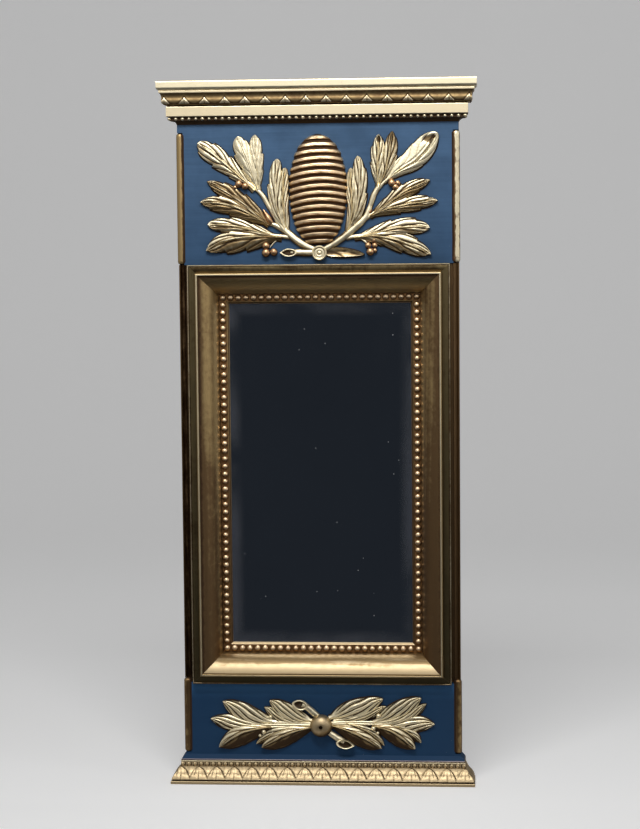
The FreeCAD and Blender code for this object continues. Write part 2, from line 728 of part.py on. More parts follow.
def moulding(label, side, section, reach, z):
    """Moulding with its section given as (out from the body, up); the front one has two mitres."""
    body = new_body(label)
    past = S["overrun"]
    if side == FRONT:
        profile = new_sketch(body, "YZ_Plane")
        flip, place_x = -1, ZERO
    else:
        profile = new_sketch(body, "XZ_Plane")
        flip, place_x = SIDE_SIGNS[side], half_body * SIDE_SIGNS[side]
    corners = []
    for corner in section:
        turned = (corner[0] * flip, corner[1])
        if len(corner) == 4:
            turned += (corner[2], corner[3] * flip)
        corners.append(turned)
    add_outline(profile, corners)
    mitres = []
    if side == FRONT:
        pad(body, profile, (half_body + reach) * 2, symmetric=True)
        for sign in (1, -1):
            mitres.append([((half_body + reach + past) * sign, -reach - past),
                           ((half_body - past) * sign, past),
                           ((half_body + reach + past) * sign, past)])
    else:
        pad(body, profile, reach, back_length=S["carcass_depth"])
        mitres.append([((reach + past) * flip, -reach - past), (-past * flip, past),
                       (-past * flip, -reach - past)])
    cuts = new_sketch(body, "XY_Plane")
    for corners in mitres:
        add_outline(cuts, corners)
    pocket(body, cuts)
    place(body, place_x, face_y, z)


def overhanging_board(label, out, height, z):
    """Board under or over the whole body, flush with the back."""
    body = board(label, S["body_width"] + out * 2, S["carcass_depth"] + out, height, ZERO, ZERO, ZERO)
    place(body, -half_body - out, face_y - out, z)
    return body


def dress_front_and_ends(body, kind, name, size_name, size):
    """Fillets or chamfers the long edges of a board's front and ends; the back stays square."""
    DOC.recompute()
    plain = body.Tip
    box = plain.Shape.BoundBox
    edges = []
    for number, edge in enumerate(plain.Shape.Edges, start=1):
        upright = abs(edge.Vertexes[0].Z - edge.Vertexes[1].Z) > box.ZLength / 2
        if not upright and edge.CenterOfMass.y < box.YMax - box.YLength / 4:
            edges.append("Edge%d" % number)
    feature = body.newObject(kind, name)
    feature.Base = (plain, edges)
    setattr(feature, size_name, size.value)
    bind(feature, size_name, size)


def cornice():
    """Cornice board with a rounded edge, leaf moulding, plain band and soffit."""
    top = overhanging_board("cornice_board", S["top_overhang"], S["top_board_height"], board_under)
    dress_front_and_ends(top, "PartDesign::Fillet", "nosing", "Radius", S["nosing_radius"])
    curve_height = S["cyma_height"] - S["cyma_fillet_height"]
    middle_out = (S["cyma_head_out"] + S["cyma_foot_out"]) / 2
    leaf = [
        (ZERO, ZERO),
        (S["cyma_foot_out"], ZERO, S["cyma_radius"], -1),
        (middle_out, curve_height / 2, S["cyma_radius"], 1),
        (S["cyma_head_out"], curve_height),
        (S["cyma_fillet_out"], curve_height),
        (S["cyma_fillet_out"], S["cyma_height"]),
        (ZERO, S["cyma_height"]),
    ]
    cyma_z = board_under - S["cyma_height"]
    band_top = cyma_z - cornice_under
    band_foot = band_top - S["fascia_quirk_height"] - S["fascia_height"]
    bed_foot = band_foot - S["soffit_bed_height"]
    band = [
        (ZERO, ZERO, S["soffit_cove_radius"], 1),
        (S["soffit_bed_out"], bed_foot),
        (S["soffit_bed_out"], band_foot),
        (S["fascia_out"], band_foot),
        (S["fascia_out"], band_top - S["fascia_quirk_height"]),
        (S["fascia_quirk_out"], band_top - S["fascia_quirk_height"]),
        (S["fascia_quirk_out"], band_top),
        (ZERO, band_top),
    ]
    for side in (FRONT, LEFT, RIGHT):
        moulding("cornice_leaf_" + side, side, leaf, S["cyma_fillet_out"], cyma_z)
        moulding("cornice_band_" + side, side, band, S["fascia_out"], cornice_under)


def foot():
    """Plinth board, flared leaf moulding, and the bed of small pearls with a fillet and a painted splay."""
    plinth = overhanging_board("plinth_board", S["foot_board_out"], S["foot_board_height"], ZERO)
    dress_front_and_ends(plinth, "PartDesign::Chamfer", "bevel", "Size", S["foot_board_bevel"])
    middle_out = (S["foot_cyma_foot_out"] + S["foot_cyma_head_out"]) / 2
    flare = [
        (ZERO, ZERO),
        (S["foot_cyma_foot_out"], ZERO, S["foot_cyma_radius"], -1),
        (middle_out, S["foot_cyma_height"] / 2, S["foot_cyma_radius"], 1),
        (S["foot_cyma_head_out"], S["foot_cyma_height"]),
        (ZERO, S["foot_cyma_height"]),
    ]
    fillet_foot = S["foot_bead_height"]
    fillet_top = fillet_foot + S["foot_fillet_height"]
    bead = [
        (ZERO, ZERO),
        (S["foot_bead_out"], ZERO),
        (S["foot_fillet_out"], fillet_foot),
        (S["foot_fillet_out"], fillet_top),
        (ZERO, fillet_top + S["foot_splay_height"]),
    ]
    for side in (FRONT, LEFT, RIGHT):
        moulding("foot_leaf_" + side, side, flare, S["foot_cyma_foot_out"], foot_cyma_z)
        moulding("foot_bead_" + side, side, bead, S["foot_bead_out"], foot_bead_z)


# Carved ornament; places are shares of half the body's width and of the painted height

UPPER_FIELD = (frame_top, S["upper_field_height"])
LOWER_FIELD = (foot_splay_z, S["frame_foot"] - foot_splay_z)
EGG_PLACE_SHARES = (0.004, 0.562)
EGG_UPPER_SHARE, EGG_LOWER_SHARE = 0.362, 0.424
ROSETTE_PLACE_SHARES = (0.011, 0.080)
BOSS_PLACE_SHARES = (-0.008, 0.444)
egg_upper_height = S["upper_field_height"] * EGG_UPPER_SHARE
egg_lower_height = S["upper_field_height"] * EGG_LOWER_SHARE
EGG_TILT = math.radians(16)
EGG_RIB_STEPS = 10
EGG_REACH_SHARE = 1.25
EGG_RIB_SHARES = [(-1 / 2, 1), (-1 / 6, 0), (1 / 6, 0), (1 / 2, 1)]
EGG_OUTLINE_STEPS = 24
LEAF_STATION_SHARES = [(0.0, 0.14), (0.3, 0.52), (0.64, 1.0), (0.88, 0.78), (1.0, 0.14)]

# A leaf is (base x, base z, tip x, tip z, half width over length, bend over length)
LAUREL_LEAF_SHARES = {
    LEFT: [
        (-0.416, 0.534, -0.441, 0.924, 0.127, 0.01), (-0.427, 0.534, -0.565, 0.912, 0.158, 0.01),
        (-0.449, 0.528, -0.851, 0.867, 0.137, -0.02), (-0.337, 0.285, -0.787, 0.596, 0.100, -0.04),
        (-0.348, 0.280, -0.837, 0.449, 0.111, -0.10), (-0.281, 0.195, -0.787, 0.288, 0.107, -0.04),
        (-0.258, 0.195, -0.801, 0.102, 0.148, -0.06), (-0.225, 0.234, -0.284, 0.749, 0.096, 0.07),
        (-0.216, 0.240, -0.222, 0.686, 0.076, 0.06),
    ],
    RIGHT: [
        (0.438, 0.545, 0.534, 0.938, 0.122, -0.05), (0.427, 0.545, 0.438, 0.918, 0.136, 0.01),
        (0.472, 0.579, 0.851, 0.924, 0.146, -0.04), (0.371, 0.342, 0.798, 0.590, 0.102, 0.05),
        (0.371, 0.336, 0.851, 0.444, 0.106, 0.05), (0.258, 0.184, 0.795, 0.251, 0.109, 0.06),
        (0.270, 0.189, 0.803, 0.062, 0.123, 0.07), (0.202, 0.223, 0.287, 0.766, 0.090, -0.09),
        (0.202, 0.212, 0.236, 0.692, 0.065, -0.03), (0.056, 0.085, 0.331, 0.067, 0.107, 0.02),
    ],
}
SWAG_LEAF_SHARES = {
    LEFT: [
        (-0.365, 0.466, -0.815, 0.526, 0.115, 0.04), (-0.295, 0.490, -0.722, 0.758, 0.135, 0.05),
        (-0.371, 0.425, -0.756, 0.153, 0.163, -0.07), (-0.079, 0.481, -0.421, 0.688, 0.165, 0.06),
        (-0.067, 0.506, -0.382, 0.773, 0.153, 0.05), (-0.079, 0.456, -0.483, 0.194, 0.098, -0.05),
        (-0.067, 0.425, -0.444, 0.148, 0.148, -0.02),
    ],
    RIGHT: [
        (0.345, 0.475, 0.812, 0.476, 0.125, 0.01), (0.348, 0.491, 0.753, 0.743, 0.110, -0.08),
        (0.371, 0.496, 0.716, 0.819, 0.137, 0.00), (0.079, 0.490, 0.463, 0.703, 0.155, -0.06),
        (0.051, 0.546, 0.441, 0.803, 0.145, -0.01), (0.067, 0.456, 0.427, 0.158, 0.135, 0.01),
        (0.360, 0.456, 0.669, 0.153, 0.168, 0.04),
    ],
}
# A stem is a line of (x, z, thickness share)
LAUREL_STEM_SHARES = {
    LEFT: [[(-0.045, 0.112, 1.0), (-0.203, 0.203, 0.95), (-0.292, 0.293, 0.8), (-0.380, 0.457, 0.6),
            (-0.550, 0.630, 0.4)], [(-0.048, 0.075, 0.9), (-0.150, 0.074, 0.95), (-0.262, 0.076, 0.8)]],
    RIGHT: [[(0.067, 0.112, 1.0), (0.213, 0.215, 0.95), (0.344, 0.344, 0.8), (0.394, 0.490, 0.6),
             (0.525, 0.610, 0.4)], [(0.070, 0.075, 0.8), (0.180, 0.078, 0.7)]],
}
SWAG_STEM_SHARES = {
    LEFT: [[(-0.093, 0.470, 1.0), (-0.253, 0.470, 0.8), (-0.421, 0.465, 0.6), (-0.562, 0.485, 0.4)]],
    RIGHT: [[(0.077, 0.475, 1.0), (0.253, 0.480, 0.8), (0.421, 0.485, 0.6), (0.555, 0.492, 0.4)]],
}
LAUREL_BERRY_SHARES = {
    LEFT: [(-0.559, 0.576), (-0.514, 0.559), (-0.371, 0.133), (-0.371, 0.082), (-0.315, 0.088)],
    RIGHT: [(0.528, 0.568), (0.559, 0.545), (0.402, 0.164), (0.402, 0.118), (0.371, 0.085), (0.354, 0.130)],
}
SWAG_BERRY_SHARES = {
    LEFT: [(-0.376, 0.556), (-0.427, 0.360)],
    RIGHT: [(0.407, 0.577), (0.371, 0.420)],
}
SWAG_BERRY_SHARE = 0.7
LEAF_ROOT_SHARE, STEM_ROOT_SHARE = 0.55, 0.4
CUP_SIDES = 12
CUP_FOOT_SHARE, CUP_FLOOR_SHARE, CUP_MOUTH_SHARE = 0.8, 0.45, 0.68
CUT_STEM_SHARE = 1.3
# A cut stem runs from (x, z) near the boss to its open end at (x, z)
CUT_STEM_SHARES = {
    LEFT: (-0.060, 0.600, -0.158, 0.715),
    RIGHT: (0.058, 0.340, 0.158, 0.205),
}


def on_field(field, x_share, z_share):
    """Place on a painted field, as plain numbers (x, z)."""
    return half_body.value * x_share, field[0].value + field[1].value * z_share


def cross_ring(x, z, along_x, along_z, shape):
    """Ring of points square to a direction on the panel, from (sideways, above the panel) pairs."""
    side_x, side_z = -along_z, along_x
    return [Vector(x + side_x * across, face_y.value - above, z + side_z * across) for across, above in shape]


def leaf(field, base_x, base_z, tip_x, tip_z, width_share, bend_share):
    """Leaf with a ridge along its middle, carried through stations on a slightly bent midrib."""
    x0, z0 = on_field(field, base_x, base_z)
    x1, z1 = on_field(field, tip_x, tip_z)
    length = math.hypot(x1 - x0, z1 - z0)
    along_x, along_z = (x1 - x0) / length, (z1 - z0) / length
    edge, ridge = S["leaf_edge"].value, S["leaf_ridge"].value
    rings = []
    for station, width in LEAF_STATION_SHARES:
        sway = bend_share * length * math.sin(math.pi * station)
        x = x0 + along_x * length * station - along_z * sway
        z = z0 + along_z * length * station + along_x * sway
        half = width_share * length * width
        top = edge + (ridge - edge) * (LEAF_ROOT_SHARE + (1 - LEAF_ROOT_SHARE) * width)
        shape = [(-half, 0), (-half, edge), (0, top), (half, edge), (half, 0)]
        rings.append(cross_ring(x, z, along_x, along_z, shape))
    return faceted(rings)


def stem(field, line):
    """Tapering stem with a flat back, carried along its line."""
    points = [on_field(field, x, z) for x, z, share in line]
    rings = []
    for index, (x, z) in enumerate(points):
        before = points[max(index - 1, 0)]
        after = points[min(index + 1, len(points) - 1)]
        length = math.hypot(after[0] - before[0], after[1] - before[1])
        along_x, along_z = (after[0] - before[0]) / length, (after[1] - before[1]) / length
        radius = S["stem_radius"].value * line[index][2]
        height = S["stem_height"].value * (STEM_ROOT_SHARE + (1 - STEM_ROOT_SHARE) * line[index][2])
        shape = [(-radius, 0), (-radius, height / 2), (-radius / 2, height), (radius / 2, height),
                 (radius, height / 2), (radius, 0)]
        rings.append(cross_ring(x, z, along_x, along_z, shape))
    return faceted(rings)


def cut_stem(field, from_x, from_z, to_x, to_z):
    """Stub of a branch with an open, hollowed end that faces the viewer."""
    x0, z0 = on_field(field, from_x, from_z)
    x1, z1 = on_field(field, to_x, to_z)
    radius, height = S["cup_radius"].value, S["cup_height"].value
    floor = face_y.value
    mouth = floor - height
    cup = faceted([round_ring(x1, floor, z1, radius * CUP_FOOT_SHARE, CUP_SIDES),
                   round_ring(x1, mouth, z1, radius, CUP_SIDES)], flat=True)
    bottom = mouth + S["cup_depth"].value
    hollow = faceted([round_ring(x1, bottom, z1, radius * CUP_FLOOR_SHARE, CUP_SIDES),
                      round_ring(x1, mouth, z1, radius * CUP_MOUTH_SHARE, CUP_SIDES)], flat=True)
    branch = stem(field, [(x, z, CUT_STEM_SHARE) for x, z in ((from_x, from_z), (to_x, to_z))])
    return cup.fuse(branch).cut(hollow)


def egg_half_width(level, extra=0.0):
    """Half the egg's width at a height above its widest rib."""
    limit = (egg_upper_height if level > 0 else egg_lower_height).value + extra
    return (S["egg_width"].value / 2 + extra) * math.sqrt(1 - (level / limit) ** 2)


def egg_room():
    """Prism of the egg's outline with room all round, for the sprays beside it."""
    x, z = on_field(UPPER_FIELD, *EGG_PLACE_SHARES)
    room = S["fit_gap"].value * 2
    upper, lower = egg_upper_height.value + room, egg_lower_height.value + room
    sides = {1: [], -1: []}
    for step in range(1, EGG_OUTLINE_STEPS):
        turn = math.pi * step / EGG_OUTLINE_STEPS
        level = math.cos(turn) * (upper if turn < math.pi / 2 else lower)
        for sign in sides:
            sides[sign].append(Vector(x + egg_half_width(level, room) * sign, face_y.value, z + level))
    outline = [Vector(x, face_y.value, z + upper)] + sides[1] + [Vector(x, face_y.value, z - lower)]
    outline += sides[-1][::-1]
    face = Part.Face(Part.makePolygon(outline + outline[:1]))
    return face.extrude(Vector(0, -S["egg_relief"].value, 0))


def egg_rib(x, z, level):
    """Tilted slice of the egg with a rounded rim; it bulges as far from the panel as the egg does there."""
    width = egg_half_width(level)
    rise = S["egg_relief"].value * width / (S["egg_width"].value / 2)
    radius = (width * width + rise * rise) / (2 * rise)
    axis = Vector(0, math.sin(EGG_TILT), math.cos(EGG_TILT))
    forward = Vector(0, -math.cos(EGG_TILT), math.sin(EGG_TILT))
    centre = Vector(x, face_y.value, z + level) - forward * (radius - rise)
    thick = S["egg_rib_pitch"].value * math.cos(EGG_TILT)
    reach = math.acos((radius - rise) / radius) * EGG_REACH_SHARE
    rings = []
    for level_share, inset_share in EGG_RIB_SHARES:
        up = thick * level_share
        out = radius - S["egg_groove_depth"].value * inset_share
        ring = []
        for step in range(EGG_RIB_STEPS + 1):
            turn = reach * (2 * step / EGG_RIB_STEPS - 1)
            sideways = Vector(out * math.sin(turn), 0, 0)
            ring.append(centre + axis * up + forward * (out * math.cos(turn)) + sideways)
        rings.append(ring)
    return faceted(rings, flat=True)


def egg():
    """Half egg built of ribs, flat against the panel."""
    x, z = on_field(UPPER_FIELD, *EGG_PLACE_SHARES)
    pitch = S["egg_rib_pitch"].value
    first = -math.floor(egg_lower_height.value / pitch - 0.5)
    last = math.floor(egg_upper_height.value / pitch - 0.5)
    ribs = [egg_rib(x, z, count * pitch) for count in range(first, last + 1)]
    span, relief = egg_upper_height.value + egg_lower_height.value, S["egg_relief"].value
    corner = Vector(x - span / 2, face_y.value - relief * 2, z - span)
    front = Part.makeBox(span, relief * 2, span * 2, corner)
    item = DOC.addObject("Part::Feature", "egg")
    item.Shape = ribs[0].multiFuse(ribs[1:]).common(front).removeSplitter()
    finished(item, "egg")


def turned_button(label, field, place_shares, section, radius, height, eye=None):
    """Turned piece on a panel, from its section as shares (out, up) of its radius and height."""
    x, z = on_field(field, *place_shares)
    rings = [round_ring(x, face_y.value - height.value * up, z, radius.value * out, BUTTON_SIDES)
             for out, up in section]
    shape = faceted(rings, flat=True)
    if eye is not None:
        eye_radius, eye_depth = eye
        top = face_y.value - height.value
        shape = shape.cut(faceted([round_ring(x, top + eye_depth.value, z, eye_radius.value, BUTTON_SIDES),
                                   round_ring(x, top, z, eye_radius.value, BUTTON_SIDES)], flat=True))
    button = DOC.addObject("Part::Feature", label)
    button.Shape = shape
    finished(button, label)


BUTTON_SIDES = 20
ROSETTE_SECTION_SHARES = [(1, 0), (1, 0.6), (0.8, 0.85), (0.62, 0.6), (0.36, 0.6), (0.3, 1.0)]
BOSS_SECTION_SHARES = [(1, 0), (1, 0.3), (0.92, 0.6), (0.74, 0.86), (0.42, 1.0)]


def turned_ornaments():
    """Rosette under the egg, and the boss that ties the lower leaves, with its pin hole."""
    turned_button("rosette", UPPER_FIELD, ROSETTE_PLACE_SHARES, ROSETTE_SECTION_SHARES, S["rosette_radius"],
                  S["rosette_height"])
    turned_button("boss", LOWER_FIELD, BOSS_PLACE_SHARES, BOSS_SECTION_SHARES, S["boss_radius"],
                  S["boss_height"], (S["boss_eye_radius"], S["boss_eye_depth"]))


def clear_disc(field, place_shares, radius, height):
    """Room round a turned ornament, for the leaves and stems beside it."""
    x, z = on_field(field, *place_shares)
    return Part.makeCylinder(radius.value + S["fit_gap"].value, height.value * 2,
                             Vector(x, face_y.value, z), Vector(0, -1, 0))


def sprays():
    """Laurel beside the egg and leaves beside the boss, each spray carved from one piece."""
    room = egg_room()
    rosette_room = clear_disc(UPPER_FIELD, ROSETTE_PLACE_SHARES, S["rosette_radius"], S["rosette_height"])
    boss_room = clear_disc(LOWER_FIELD, BOSS_PLACE_SHARES, S["boss_radius"], S["boss_height"])
    for side in (LEFT, RIGHT):
        upper = [leaf(UPPER_FIELD, *shares) for shares in LAUREL_LEAF_SHARES[side]]
        upper += [stem(UPPER_FIELD, line) for line in LAUREL_STEM_SHARES[side]]
        upper += [berry(UPPER_FIELD, shares) for shares in LAUREL_BERRY_SHARES[side]]
        carve("laurel_" + side, upper, [room, rosette_room])
        lower = [leaf(LOWER_FIELD, *shares) for shares in SWAG_LEAF_SHARES[side]]
        lower += [stem(LOWER_FIELD, line) for line in SWAG_STEM_SHARES[side]]
        lower += [berry(LOWER_FIELD, shares, SWAG_BERRY_SHARE) for shares in SWAG_BERRY_SHARES[side]]
        lower.append(cut_stem(LOWER_FIELD, *CUT_STEM_SHARES[side]))
        carve("swag_" + side, lower, [boss_room])


def berry(field, shares, share=1):
    x, z = on_field(field, *shares)
    return bead(x, z, S["berry_radius"].value * share, S["berry_height"].value * share, face_y.value)


def carve(label, pieces, rooms):
    """Joins the leaves, stems and berries of one spray and clears what stands beside them."""
    shape = pieces[0].multiFuse(pieces[1:])
    for room in rooms:
        shape = shape.cut(room)
    item = DOC.addObject("Part::Feature", label)
    item.Shape = shape.removeSplitter()
    finished(item, label)


# Iron hanging ring, its plate and nails, in the recess of the top rail

def hanging_ring():
    """D-shaped ring: a round bar in the eye, and legs and a bow hammered to eight sides."""
    half, leg, wire = S["ring_half_width"], S["ring_leg"], S["wire_radius"]
    bar = DOC.addObject("Part::Cylinder", "ring_bar")
    bind(bar, "Radius", wire)
    bind(bar, "Height", half * 2)
    place(bar, -half, pivot_y, pivot_z, Vector(0, 1, 0), 90)
    path = [(half.value, wire.value, 0.0), (half.value, -leg.value, 0.0)]
    for step in range(1, RING_STEPS):
        turn = math.pi * step / RING_STEPS
        path.append((half.value * math.cos(turn), -leg.value - half.value * math.sin(turn), turn))
    path += [(-half.value, -leg.value, math.pi), (-half.value, wire.value, math.pi)]
    rings = []
    for x, z, turn in path:
        centre = Vector(x, pivot_y.value, pivot_z.value + z)
        outward = Vector(math.cos(turn), 0, -math.sin(turn))
        ring = []
        for corner in range(RING_SIDES):
            around = 2 * math.pi * (corner + 0.5) / RING_SIDES
            back = Vector(0, wire.value * math.sin(around), 0)
            ring.append(centre + outward * (wire.value * math.cos(around)) + back)
        rings.append(ring)
    bow = DOC.addObject("Part::Feature", "ring_bow")
    bow.Shape = faceted(rings)
    ring = DOC.addObject("Part::Fuse", "hanging_ring")
    ring.Base = bar
    ring.Tool = bow
    ring.Refine = True
    finished(ring, "hanging_ring")


def hanger():
    """Plate with a rolled eye and square nail holes, its nails, and the ring."""
    half = S["hanger_width"] / 2
    body = new_body("hanger_plate")
    outline = new_sketch(body, "YZ_Plane")
    middle = S["hanger_thickness"] + knuckle_radius
    add_rectangle(outline, ZERO, -S["hanger_height"], S["hanger_thickness"], -knuckle_radius)
    pad(body, outline, half * 2, symmetric=True)
    web = new_sketch(body, "YZ_Plane")
    add_rectangle(web, ZERO, -knuckle_radius - S["hanger_thickness"], S["hanger_thickness"], knuckle_radius)
    pad(body, web, S["knuckle_length"], symmetric=True)
    eye = new_sketch(body, "YZ_Plane")
    add_circle(eye, middle, ZERO, knuckle_radius)
    pad(body, eye, S["knuckle_length"], symmetric=True)
    bore = new_sketch(body, "YZ_Plane")
    add_circle(bore, middle, ZERO, S["wire_radius"] + S["pivot_play"])
    pocket(body, bore)
    holes = new_sketch(body, "XZ_Plane")
    for z in hanger_nail_places:
        add_nail_hole(holes, ZERO, z - pivot_z)
    pocket(body, holes)
    place(body, ZERO, hanger_y, pivot_z)
    nails = DOC.addObject("Part::Feature", "hanger_nails")
    length = (S["hanger_thickness"] + S["hanger_nail_grip"]).value
    head_y = (hanger_y + S["hanger_thickness"]).value
    nails.Shape = Part.makeCompound([forged_nail(0, head_y, z.value, length) for z in hanger_nail_places])
    finished(nails, "hanger_nails")
    hanging_ring()


carcass_stiles()
carcass_rails()
painted_panels()
for rod_side in (LEFT, RIGHT):
    corner_rod("upper_rod_" + rod_side, rod_side, frame_top, upper_rod_top)
    corner_rod("lower_rod_" + rod_side, rod_side, lower_rod_foot, lower_rod_top)
    edge_strip(rod_side)
frame_rails()
frame_bands()
pearl_rows()
mirror_plate()
back_boards()
back_nails()
cornice()
foot()
egg()
turned_ornaments()
sprays()
hanger()

DOC.recompute()
for item in DOC.Objects:
    if "Invalid" in item.State or "Error" in item.State:
        raise RuntimeError("%s failed: %s" % (item.Label, item.State))
for piece in PARTS:
    if piece.Shape.isNull() or not piece.Shape.isValid():
        raise RuntimeError("%s has no valid shape" % piece.Label)
for body, feature in CUTS:
    if feature.BaseFeature.Shape.Volume - feature.Shape.Volume < 1e-3:
        raise RuntimeError("%s: %s cuts nothing" % (body.Label, feature.Label))

os.makedirs("parts", exist_ok=True)
for piece in PARTS:
    piece.Shape.exportStep("parts/%s.step" % piece.Label)
print(len(PARTS), "pieces")
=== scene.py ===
"""Looks of a gilded and painted pier mirror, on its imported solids.

+Z is up, -Y is the front. Lengths are metres in Blender; the tables and sizes here are millimetres.
"""
import math

import bmesh
import bpy
import numpy as np
from mathutils import Matrix, Vector


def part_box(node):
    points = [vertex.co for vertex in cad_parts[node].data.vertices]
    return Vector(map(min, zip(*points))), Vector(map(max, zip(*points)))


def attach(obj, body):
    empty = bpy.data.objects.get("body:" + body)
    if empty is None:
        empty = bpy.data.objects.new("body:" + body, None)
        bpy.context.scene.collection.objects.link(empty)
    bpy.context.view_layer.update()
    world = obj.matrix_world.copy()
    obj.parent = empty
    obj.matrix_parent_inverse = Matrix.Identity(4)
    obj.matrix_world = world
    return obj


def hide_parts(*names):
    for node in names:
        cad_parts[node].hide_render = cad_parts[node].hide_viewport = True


bl_info = {
    "name": "Pier mirror finish",
    "version": (1, 0, 0),
    "blender": (4, 5, 0),
    "location": "View3D > Sidebar > Mirror",
    "description": "Builds the carved, gilded and painted surfaces of a pier mirror",
    "category": "Object",
}

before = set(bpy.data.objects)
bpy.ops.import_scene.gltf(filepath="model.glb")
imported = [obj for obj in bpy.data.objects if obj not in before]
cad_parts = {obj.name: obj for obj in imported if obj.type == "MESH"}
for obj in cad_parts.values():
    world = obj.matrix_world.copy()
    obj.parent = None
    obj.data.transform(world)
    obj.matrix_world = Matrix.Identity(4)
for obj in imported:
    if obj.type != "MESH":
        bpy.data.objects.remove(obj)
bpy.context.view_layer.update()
MM = 0.001


def node_box(name):
    """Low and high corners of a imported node, in millimetres."""
    low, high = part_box(name)
    return np.array(low) / MM, np.array(high) / MM


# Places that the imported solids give, in millimetres

PANEL_LOW, PANEL_HIGH = node_box("upper_panel")
FACE = PANEL_LOW[1]
HALF_BODY = PANEL_HIGH[0]
BACK = node_box("stile_left")[1][1]
FIELD_FOOT = PANEL_LOW[2]
FRAME_LOW, FRAME_HIGH = node_box("frame_band_left")
FRAME_HALF_WIDTH = -FRAME_LOW[0]
FRAME_HALF_HEIGHT = (FRAME_HIGH[2] - FRAME_LOW[2]) / 2
FRAME_MIDDLE = (FRAME_HIGH[2] + FRAME_LOW[2]) / 2
FILLET_FRONT = node_box("frame_left")[0][1]
EGG_LOW, EGG_HIGH = node_box("egg")
BOARD_LOW, BOARD_HIGH = node_box("cornice_board")
PLINTH_LOW, PLINTH_HIGH = node_box("plinth_board")
CYMA_FOOT = node_box("cornice_leaf_front")[0][2]
BAND_FOOT = node_box("cornice_band_front")[0][2]

FRAME_TURNS = {"top": 0, "right": 90, "bottom": 180, "left": 270}
SIDE_SIGNS = {"left": -1, "right": 1}
RUNS = ("front", "left", "right")


def middle_on_face(name):
    """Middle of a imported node, on the face of the body."""
    low, high = node_box(name)
    return (low[0] + high[0]) / 2, FACE, (low[2] + high[2]) / 2


# Surfaces

class Shell:
    """Collects points, faces and the two marks that the finishes read, for one mesh."""

    def __init__(self):
        self.points, self.faces, self.relief, self.tone, self.slots = [], [], [], [], []
        self.count = 0

    def grid(self, points, relief=0.5, tone=0.5, around=True, capped=True, slot=0):
        """Adds a grid of points (along, across, 3); around joins its last column to the first."""
        rows, columns = points.shape[:2]
        index = np.arange(rows * columns).reshape(rows, columns) + self.count
        following = np.roll(index, -1, axis=1) if around else index[:, 1:]
        index_here = index if around else index[:, :-1]
        quads = np.stack([index_here[:-1], following[:-1], following[1:], index_here[1:]], axis=-1)
        slots = np.broadcast_to(np.asarray(slot), quads.shape[:2])
        self.faces += quads.reshape(-1, 4).tolist()
        self.slots += slots.reshape(-1).tolist()
        if capped:
            self.faces += [index[0].tolist(), index[-1].tolist()]
            self.slots += [0, 0]
        self.points.append(points.reshape(-1, 3))
        self.relief.append(np.broadcast_to(relief, (rows, columns)).reshape(-1))
        self.tone.append(np.broadcast_to(tone, (rows, columns)).reshape(-1))
        self.count += rows * columns
        return self

    def build(self, name, body, slot, materials, nodes, sharp=38):
        """Makes the object in the named finishes, its faces turned outwards, to stand for its nodes."""
        mesh = bpy.data.meshes.new(name)
        mesh.from_pydata((np.concatenate(self.points) * MM).tolist(), [], self.faces)
        for material in materials:
            mesh.materials.append(finish(material))
        mesh.polygons.foreach_set("material_index", self.slots)
        # The relief and tone marks carry the carving's own relief and toning, and also painted light and shade:
        # painted shade on undersides, painted shadow rims and painted highlights
        for mark, values in (("relief", self.relief), ("tone", self.tone)):
            layer = mesh.attributes.new(mark, "FLOAT", "POINT")
            layer.data.foreach_set("value", np.concatenate(values).astype(np.float32))
        work = bmesh.new()
        work.from_mesh(mesh)
        bmesh.ops.recalc_face_normals(work, faces=work.faces)
        work.to_mesh(mesh)
        work.free()
        mesh.polygons.foreach_set("use_smooth", [True] * len(mesh.polygons))
        mesh.set_sharp_from_angle(angle=math.radians(sharp))
        mesh.update()
        piece = bpy.data.objects.new(name, mesh)
        bpy.context.scene.collection.objects.link(piece)
        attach(piece, body)
        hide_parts(*nodes)
        return piece


def smooth_step(low, high, value):
    """Zero below low, one above high, and an even S between them."""
    share = np.clip((value - low) / (high - low), 0, 1)
    return share * share * (3 - 2 * share)


def ripple(seed, *axes, scale=20.0, octaves=3):
    """Soft wandering surface noise between -1 and 1: a sum of sines in seeded directions."""
    rng = np.random.default_rng(seed)
    total = 0.0
    for octave in range(octaves):
        for _ in range(3):
            direction = rng.normal(size=len(axes))
            direction /= np.linalg.norm(direction)
            phase = rng.uniform(0, 2 * math.pi)
            along = sum(axis * part for axis, part in zip(axes, direction))
            total = total + np.sin(along * 2 * math.pi * 2 ** octave / scale + phase) / 2 ** octave
    return total / 5


def stacked(*axes):
    """Grids of x, y and z spread to one shape and joined into points."""
    return np.stack(np.broadcast_arrays(*axes), axis=-1)


def whole_turn(count):
    """Angles of so many columns, evenly spaced once round."""
    return np.linspace(0, 2 * math.pi, count + 1)[None, :-1]


def turned(x, z, angle, across, up):
    """Places at (x, z) plus (across, up) turned by an angle, anticlockwise from the front."""
    return (x + across * math.cos(angle) - up * math.sin(angle),
            z + across * math.sin(angle) + up * math.cos(angle))


def heading(path):
    """Unit directions along a path of (x, z)."""
    along = np.gradient(path, axis=0)
    return along / np.linalg.norm(along, axis=1)[:, None]


def beside(path, along, across):
    """Places to the left of a path, at distances across its directions."""
    return path[:, :1] - along[:, 1:] * across, path[:, 1:2] + along[:, :1] * across


